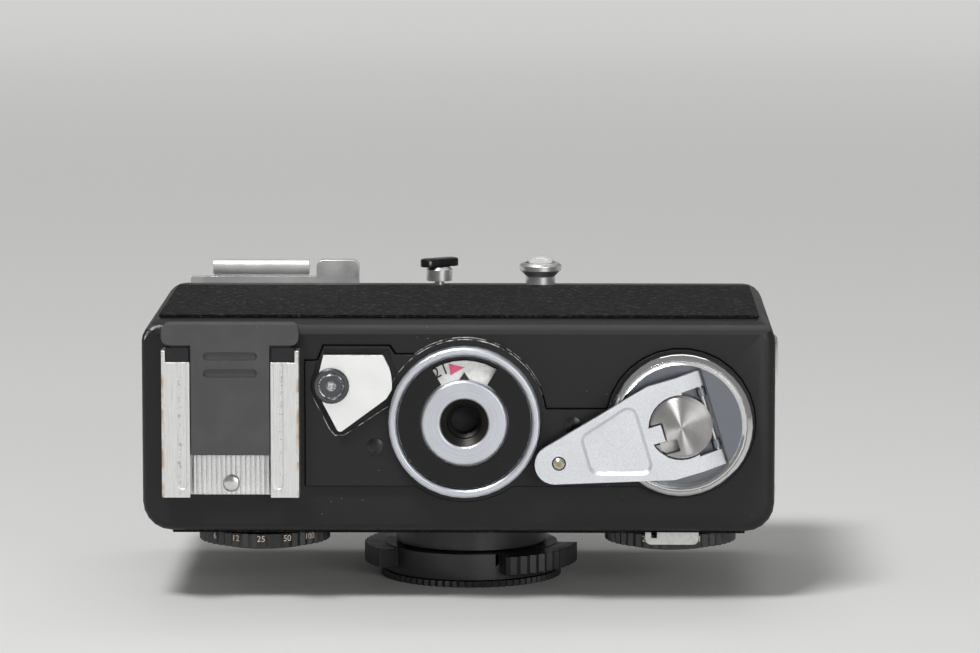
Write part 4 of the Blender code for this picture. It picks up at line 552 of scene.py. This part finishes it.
def inner_thread(name, centre, bore, pitch, turns, body, slot):
    """A thread's ridge: a narrow-topped profile carried along a helix, fading to nothing at both ends."""
    angle = np.linspace(0, turns * TURN, int(turns * THREAD_STEPS))
    fade = np.minimum(1, np.minimum(angle, angle[-1] - angle) / THREAD_FADE)
    inward = np.array([0.0, RIDGE_TALL, RIDGE_TALL, 0.0]) * pitch
    rise = np.array([-RIDGE_FOOT, -RIDGE_CREST, RIDGE_CREST, RIDGE_FOOT]) * pitch
    radius = bore + RIDGE_SUNK - fade[:, None] * inward
    local = np.stack([
        radius * np.cos(angle)[:, None],
        radius * np.sin(angle)[:, None],
        fade[:, None] * rise - pitch * angle[:, None] / TURN,
    ], axis=-1)
    faces = ring_faces(len(angle), len(inward))
    return add_piece(name, placed(local, centre, RIGHT, UP), faces, body, slot)


LETTER_SIZE = 1.4
LETTER_THICK = 0.02
LETTER_STEPS = 3


def glyph_shape(text):
    """Points and faces of one word a unit high: flat letters with a thin edge, centred."""
    curve = bpy.data.curves.new("letters", "FONT")
    curve.body = text
    curve.size = LETTER_SIZE
    curve.align_x = "CENTER"
    curve.align_y = "CENTER"
    curve.extrude = LETTER_THICK
    curve.resolution_u = LETTER_STEPS
    thing = bpy.data.objects.new("letters", curve)
    bpy.context.collection.objects.link(thing)
    mesh = bpy.data.meshes.new_from_object(thing.evaluated_get(bpy.context.evaluated_depsgraph_get()))
    points = np.empty(len(mesh.vertices) * 3)
    mesh.vertices.foreach_get("co", points)
    faces = [list(face.vertices) for face in mesh.polygons]
    bpy.data.objects.remove(thing)
    bpy.data.curves.remove(curve)
    bpy.data.meshes.remove(mesh)
    return points.reshape(-1, 3), faces


def numbers(name, marks, height, body, slot, finish):
    """Numbers as one piece: each mark gives its text, its place, and its directions across and up."""
    points, faces = [], []
    count = 0
    for text, centre, right, up in marks:
        local, corners = glyph_shape(text)
        points.append(placed(local * height, centre, right, up))
        faces += [[corner + count for corner in face] for face in corners]
        count += len(local)
    return add_piece(name, np.concatenate(points), faces, body, slot, finish)


def flat_mark(name, corners, thick, centre, right, up, body, slot, finish):
    """A flat mark: its outline at two heights, joined by walls, with a cap on each."""
    outline = np.array(corners)
    level = np.array([0.0, thick])
    flat = np.repeat(outline[None], 2, axis=0)
    height = np.repeat(level[:, None], len(outline), axis=1)
    local = np.concatenate([flat, height[..., None]], axis=-1)
    faces = ring_faces(2, len(outline))
    faces += [list(range(len(outline))), list(range(len(outline), 2 * len(outline)))]
    return add_piece(name, placed(local.reshape(-1, 3), centre, right, up), faces, body, slot, finish)


def round_marks(texts, centre, radius, start, step, right, up):
    """Places of numbers round a circle: each turned so that its top points away from the middle."""
    marks = []
    for order, text in enumerate(texts):
        angle = math.radians(start + order * step)
        away = right * math.cos(angle) + up * math.sin(angle)
        across = right * math.sin(angle) - up * math.cos(angle)
        marks.append((text, centre + radius * away, across, away))
    return marks


COUNTER_NUMBERS = ["1", "2"] + [str(number) for number in range(4, 38, 2)]
COUNTER_NUMBER_STEP = 9.0
COUNTER_NUMBER_START = 110.5
COUNTER_NUMBER_RADIUS = 8.6 * MM
COUNTER_NUMBER_HIGH = 1.75 * MM
PRINT_LIFT = 0.03 * MM
ARROW = np.array(((-1.1, -0.9), (1.2, 0.0), (-1.1, 0.9))) * MM
ARROW_STEPS_BACK = 1.38
ARROW_INWARD = 0.3 * MM
POINTER = np.array(((-0.8, -0.12), (0.8, -0.12), (0, 1.05))) * MM
POINTER_LIFT = 0.12 * MM
POINTER_THICK = 0.25 * MM


def make_counter_marks():
    """Film numbers and the red start arrow on the turning disc, and the fixed pointer over the bush."""
    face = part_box("counter_dial")[0][1]
    centre = np.array((COUNTER[0], face - PRINT_LIFT, COUNTER[2]))
    start, step = COUNTER_NUMBER_START, COUNTER_NUMBER_STEP
    marks = round_marks(COUNTER_NUMBERS, centre, COUNTER_NUMBER_RADIUS, start, step, RIGHT, UP)
    numbers("counter_numbers", marks, COUNTER_NUMBER_HIGH, "counter", "counter_black", INK_BLACK)
    angle = math.radians(COUNTER_NUMBER_START - ARROW_STEPS_BACK * COUNTER_NUMBER_STEP)
    away = RIGHT * math.cos(angle) + UP * math.sin(angle)
    across = RIGHT * math.sin(angle) - UP * math.cos(angle)
    place = centre + (COUNTER_NUMBER_RADIUS - ARROW_INWARD) * away
    at = (place, across, away)
    flat_mark("counter_start_arrow", ARROW, PRINT_LIFT, *at, "counter", "dial_white", INK_RED)
    bush = (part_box("tripod_bush")[1][0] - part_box("tripod_bush")[0][0]) / 2
    at = (np.array((COUNTER[0], face - POINTER_LIFT, COUNTER[2] + bush)), RIGHT, UP)
    flat_mark("counter_pointer", POINTER, POINTER_THICK, *at, "body", "counter_black", INK_BLACK)


SPEEDS = ["500", "250", "125", "60", "30", "15", "8", "4", "2"]
APERTURES = ["22", "16", "11", "8", "5.6", "4", "3.5"]
SENSITIVITIES = ["6", "12", "25", "50", "100"]
SPEED_STEP = 30
APERTURE_STEP = 34
DIAL_RIM_HIGH = 2.1 * MM
DIAL_NUMBER_HIGH = 1.35 * MM
RIM_NUMBER_HIGH = 0.95 * MM
RIM_NUMBER_STEP = 23
RIM_NUMBER_BELOW = 0.75 * MM
FACE_NUMBER_SHARE = 0.84


def make_dial_marks(node, body, texts, step, rim_texts):
    """Numbers on a front dial: round its face, and round the upper part of its rim."""
    low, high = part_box(node)
    centre = middle(node)
    radius = (high[0] - low[0]) / 2
    face = np.array((centre[0], centre[1], high[2] - DIAL_RIM_HIGH - PRINT_LIFT))
    start = 90 - step * (len(texts) - 1) / 2
    marks = round_marks(texts, face, radius * FACE_NUMBER_SHARE, start, step, -RIGHT, TOWARDS_TOP)
    numbers(node + "_numbers", marks, DIAL_NUMBER_HIGH, body, "dial_white", INK_WHITE)
    marks = []
    for order, text in enumerate(rim_texts):
        angle = math.radians(-90 + RIM_NUMBER_STEP * (order - len(rim_texts) // 2))
        away = RIGHT * math.cos(angle) + TOWARDS_TOP * math.sin(angle)
        across = RIGHT * -math.sin(angle) + TOWARDS_TOP * math.cos(angle)
        place = centre + (radius - PRINT_LIFT / 2) * away
        place[2] = high[2] - RIM_NUMBER_BELOW
        marks.append((text, place, across, UP))
    numbers(node + "_rim_numbers", marks, RIM_NUMBER_HIGH, body, "dial_white", INK_CREAM)


TRIPOD_BORE = 2.6 * MM
TRIPOD_PITCH = 1.27 * MM
TRIPOD_TURNS = 3
TRIPOD_INSET = 1.9 * MM
SCREW_RADIUS = 1.25 * MM
SCREW_HIGH = 0.35 * MM
PLATE_SCREWS = ((-13.3 * MM, 24.4 * MM), (16.9 * MM, 27.8 * MM))
SIDE_SCREW_RADIUS = 1.1 * MM
SIDE_SCREW_HIGH = 0.45 * MM
SIDE_SCREW_INSET = 8 * MM
LEFT_SCREW_UP = 25.3 * MM
RIGHT_SCREW_UP = 16.6 * MM


def make_small_parts():
    """The tripod thread, the base plate's two screws, and a screw on each side."""
    mouth = np.array((COUNTER[0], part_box("tripod_bush")[0][1] + TRIPOD_INSET, COUNTER[2]))
    inner_thread("tripod_thread", mouth, TRIPOD_BORE, TRIPOD_PITCH, TRIPOD_TURNS, "body", "turned_satin")
    for order, (x, z) in enumerate(PLATE_SCREWS):
        place = (x, PLATE_FACE, z)
        name = "plate_screw_%d" % order
        slotted_screw(name, place, RIGHT, UP, SCREW_RADIUS, SCREW_HIGH, "body", "dark_metal")
    low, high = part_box("front_shell")
    level = BASE_FACE + SIDE_SCREW_INSET
    sides = (
        ("left_screw", (low[0], level, LEFT_SCREW_UP), -TOWARDS_TOP),
        ("right_screw", (high[0], level, RIGHT_SCREW_UP), TOWARDS_TOP),
    )
    for name, place, right in sides:
        slotted_screw(name, place, right, UP, SIDE_SCREW_RADIUS, SIDE_SCREW_HIGH, "body", "chrome")


CARD_BELOW = 0.35 * MM
CARD_MARGIN = 0.1 * MM
CARD_THICK = 0.1 * MM
NEEDLE_THICK = 0.08 * MM
NEEDLE_LONG = 0.85
NEEDLE_AT = -0.3
MARK_AT = 0.25
METER_NEEDLE = ((-0.1, -1.0), (0.1, -1.0), (0.1, 1.0), (-0.1, 1.0))


def make_meter_card():
    """A pale card under the meter window, with a black needle and a red one across it."""
    low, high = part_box("meter_window")
    half = np.array((high[0] - low[0], high[2] - low[2])) / 2
    centre = np.array(((low[0] + high[0]) / 2, low[1] - CARD_BELOW, (low[2] + high[2]) / 2))
    corners = np.array(((-1, -1), (1, -1), (1, 1), (-1, 1))) * (half - CARD_MARGIN)
    white = FINISHES["dial_white"]
    flat_mark("meter_card", corners, CARD_THICK, centre, -RIGHT, UP, "body", "dial_white", white)
    for name, place, ink in (("meter_needle", NEEDLE_AT, INK_BLACK), ("meter_mark", MARK_AT, INK_RED)):
        bar = np.array(METER_NEEDLE) * (MM, half[1] * NEEDLE_LONG)
        spot = centre + TOWARDS_TOP * CARD_THICK - RIGHT * place * half[0]
        flat_mark(name, bar, NEEDLE_THICK, spot, -RIGHT, UP, "body", "counter_black", ink)


WEAR_SIDES = 6
ROUND_STEPS = 60
RUN_STEPS = 24


def rubbed_edge(name, path, width, body):
    """Paint rubbed through along an edge, also a painted highlight there: a six-sided ring carried along a
    path, thin at both ends.
    """
    path = np.asarray(path)
    along = np.gradient(path, axis=0)
    along /= np.linalg.norm(along, axis=1, keepdims=True)
    side = np.cross(along, TOWARDS_TOP)
    share = np.linspace(0, 1, len(path))
    thick = width * np.sqrt(np.sin(share * math.pi))
    angle = np.linspace(0, TURN, WEAR_SIDES + 1)[:-1]
    ring = np.cos(angle)[None, :, None] * side[:, None, :] + np.sin(angle)[None, :, None] * TOWARDS_TOP
    points = path[:, None, :] + thick[:, None, None] * ring
    faces = ring_faces(len(path), len(angle))
    return add_piece(name, points, faces, body, "black_paint", BARE_EDGE_AND_GLINT)


def round_path(centre, radius, start, end, level):
    """Points on a circle that faces the base, at one level."""
    angle = np.radians(np.linspace(start, end, ROUND_STEPS))
    flat = np.full(ROUND_STEPS, level)
    return np.stack([centre[0] + radius * np.cos(angle), flat, centre[2] + radius * np.sin(angle)], axis=-1)


def straight_path(corners, level):
    """Evenly spaced points along straight runs between corners given across and up, at one level."""
    corners = np.array(corners)
    runs = len(corners) - 1
    share = np.linspace(0, runs, RUN_STEPS * runs + 1)
    order = np.arange(len(corners))
    across = np.interp(share, order, corners[:, 0])
    up = np.interp(share, order, corners[:, 1])
    return np.stack([across, np.full(len(share), level), up], axis=-1)


COUNTER_SURROUND = 12.5 * MM
EDGE_WEAR_GLINT = 0.09 * MM
FLAT_CORNER = 1.7 * MM
RIM_ROUND = 1.5 * MM
CORNER_WEAR_GLINT = 0.25 * MM
SURROUND_GAP = 0.2 * MM
PLATE_WORN_GLINT = (18, 158)
COVER_WORN_GLINT = (24, 140)
CORNER_WORN_GLINT = (75, 165)
FLAT_WITHIN = 0.01 * MM
LEVER_POCKET = ((9.2, -2.9), (1.9, -7.75), (0.5, -7.8), (-0.3, -6.9), (-3.0, -1.6))


def make_worn_edges():
    """Worn edges, also painted highlights along them, round the counter, at the base's upper left corner
    and below the lock lever's pocket.
    """
    # Each strip is partly wear and partly a painted highlight along its edge.
    path = round_path(COUNTER, COUNTER_SURROUND, *PLATE_WORN_GLINT, PLATE_FACE)
    rubbed_edge("plate_edge_wear_glint", path, EDGE_WEAR_GLINT, "body")
    path = round_path(COUNTER, COUNTER_SURROUND + SURROUND_GAP, *COVER_WORN_GLINT, BASE_FACE)
    rubbed_edge("cover_edge_wear_glint", path, EDGE_WEAR_GLINT, "back")
    flat = np.array([point.co for point in frame["nodes"]["back_cover"].data.vertices])
    flat = flat[flat[:, 1] < BASE_FACE + FLAT_WITHIN]
    corner = (flat[:, 0].min() + FLAT_CORNER, 0.0, flat[:, 2].max() - FLAT_CORNER)
    level = BASE_FACE + (1 - math.sqrt(0.5)) * RIM_ROUND
    path = round_path(corner, FLAT_CORNER + math.sqrt(0.5) * RIM_ROUND, *CORNER_WORN_GLINT, level)
    rubbed_edge("corner_wear_glint", path, CORNER_WEAR_GLINT, "back")
    pocket = [(LOCK[0] + across * MM, LOCK[2] + up * MM) for across, up in LEVER_POCKET]
    rubbed_edge("pocket_edge_wear_glint", straight_path(pocket, PLATE_FACE), EDGE_WEAR_GLINT, "body")


BARE_EDGE_AND_GLINT = bare_edge("rubbed edge and painted highlight")
INK_BLACK = printed("black ink", (0.012, 0.012, 0.012))
INK_WHITE = printed("white ink", (0.78, 0.77, 0.73))
INK_CREAM = printed("cream ink", (0.72, 0.6, 0.5))
INK_RED = printed("red ink", (0.8, 0.13, 0.25))
make_counter_marks()
make_dial_marks("speed_dial", "speed", SPEEDS, SPEED_STEP, SENSITIVITIES)
make_dial_marks("aperture_dial", "aperture", APERTURES, APERTURE_STEP, APERTURES[:3])
make_small_parts()
make_meter_card()
make_worn_edges()


# Floor, light and camera


FLOOR_REACH = 2.6
FLOOR_FLAT = 1.2
FLOOR_BEND = 0.5
BEND_STEPS = 24
FADE_FROM, FADE_TO = 0.2, 1.6
BACKDROP = (0.72, 0.72, 0.71, 1)


def make_floor():
    """A pale floor that curves up behind: flat, a quarter turn, then upright. Seen directly, it fades with
    distance into one even tone."""
    turn = np.linspace(0, math.pi / 2, BEND_STEPS)
    behind = FLOOR_FLAT + FLOOR_BEND
    depth = np.concatenate([[-FLOOR_REACH], FLOOR_FLAT + FLOOR_BEND * np.sin(turn), [behind]])
    height = np.concatenate([[0.0], FLOOR_BEND - FLOOR_BEND * np.cos(turn), [FLOOR_REACH]])
    across = np.array((-FLOOR_REACH, FLOOR_REACH))
    points = np.stack(np.broadcast_arrays(across[None, :], depth[:, None], height[:, None]), axis=-1)
    rows, columns = points.shape[:2]
    index = np.arange(rows * columns).reshape(rows, columns)
    corners = [index[:-1, :-1], index[:-1, 1:], index[1:, 1:], index[1:, :-1]]
    faces = np.stack(corners, axis=-1).reshape(-1, 4)
    mesh = bpy.data.meshes.new("floor")
    mesh.from_pydata(points.reshape(-1, 3), [], faces.tolist())
    mesh.shade_smooth()
    thing = bpy.data.objects.new("floor", mesh)
    bpy.context.collection.objects.link(thing)
    finish = Finish("pale floor", (0.62, 0.62, 0.61), 0.6)
    finish.bump(finish.noise(400, 3), 0.02 * MM)
    far_off = finish.remap(finish.radius((0, 0, 0), (1, 1, 1)), FADE_FROM, FADE_TO)
    path = finish.add("ShaderNodeLightPath")
    seen = finish.math("MAXIMUM", path.outputs["Is Camera Ray"], path.outputs["Is Transmission Ray"])
    plain = finish.add("ShaderNodeEmission", {"Color": BACKDROP, "Strength": 1.0})
    amount = finish.math("MULTIPLY", far_off, seen)
    shaders = {0: amount, 1: finish.shader.outputs["BSDF"], 2: plain.outputs["Emission"]}
    blend = finish.add("ShaderNodeMixShader", shaders)
    output = finish.tree.nodes["Material Output"]
    finish.tree.links.new(blend.outputs["Shader"], output.inputs["Surface"])
    mesh.materials.append(finish.material)


LAMPS = (
    ("key lamp", (-0.28, -0.47, 0.94), (0, 0, 0.02), (0.3, 0.25), 9.5),
    ("front lamp", (0.5, -1.05, 0.3), (0, 0, 0.02), (0.6, 0.35), 4),
    ("back lamp", (0.1, 0.5, 1.0), (0, 0, 0.03), (0.8, 0.3), 2),
)
WORLD_GREY = (0.8, 0.8, 0.8, 1)
WORLD_STRENGTH = 0.35


def make_lamp(name, place, target, size, power):
    """A rectangular soft lamp that faces a point."""
    lamp = bpy.data.lights.new(name, "AREA")
    lamp.shape = "RECTANGLE"
    lamp.size, lamp.size_y = size
    lamp.energy = power
    thing = bpy.data.objects.new(name, lamp)
    bpy.context.collection.objects.link(thing)
    aim = np.array(target) - np.array(place)
    flat = math.hypot(aim[0], aim[1])
    thing.location = place
    thing.rotation_euler = (math.atan2(flat, -aim[2]), 0, math.atan2(-aim[0], aim[1]))


def make_light():
    """A lamp high in front for the shadows, a wide one low in front, one behind, and an even pale world."""
    for lamp in LAMPS:
        make_lamp(*lamp)
    world = bpy.data.worlds.new("studio")
    world.use_nodes = True
    background = world.node_tree.nodes["Background"]
    background.inputs["Color"].default_value = WORLD_GREY
    background.inputs["Strength"].default_value = WORLD_STRENGTH
    bpy.context.scene.world = world


VIEW_SENSOR = 36
VIEW_LENS = 180.22
VIEW_NEAREST = 0.05
VIEW_PLACE = (0.01438, -0.76781, 0.13688)
VIEW_DOWN = math.radians(7.221)
VIEW_TURN = math.radians(0.782)


def make_camera():
    """The photograph's view: a long lens in front of the base, a little above and a little to the right."""
    lens = bpy.data.cameras.new("view")
    lens.sensor_width = VIEW_SENSOR
    lens.lens = VIEW_LENS
    lens.clip_start = VIEW_NEAREST
    thing = bpy.data.objects.new("view", lens)
    bpy.context.collection.objects.link(thing)
    thing.location = VIEW_PLACE
    thing.rotation_euler = (math.pi / 2 - VIEW_DOWN, 0, VIEW_TURN)
    bpy.context.scene.camera = thing


make_floor()
make_light()
make_camera()
bpy.context.scene.view_settings.view_transform = "Standard"
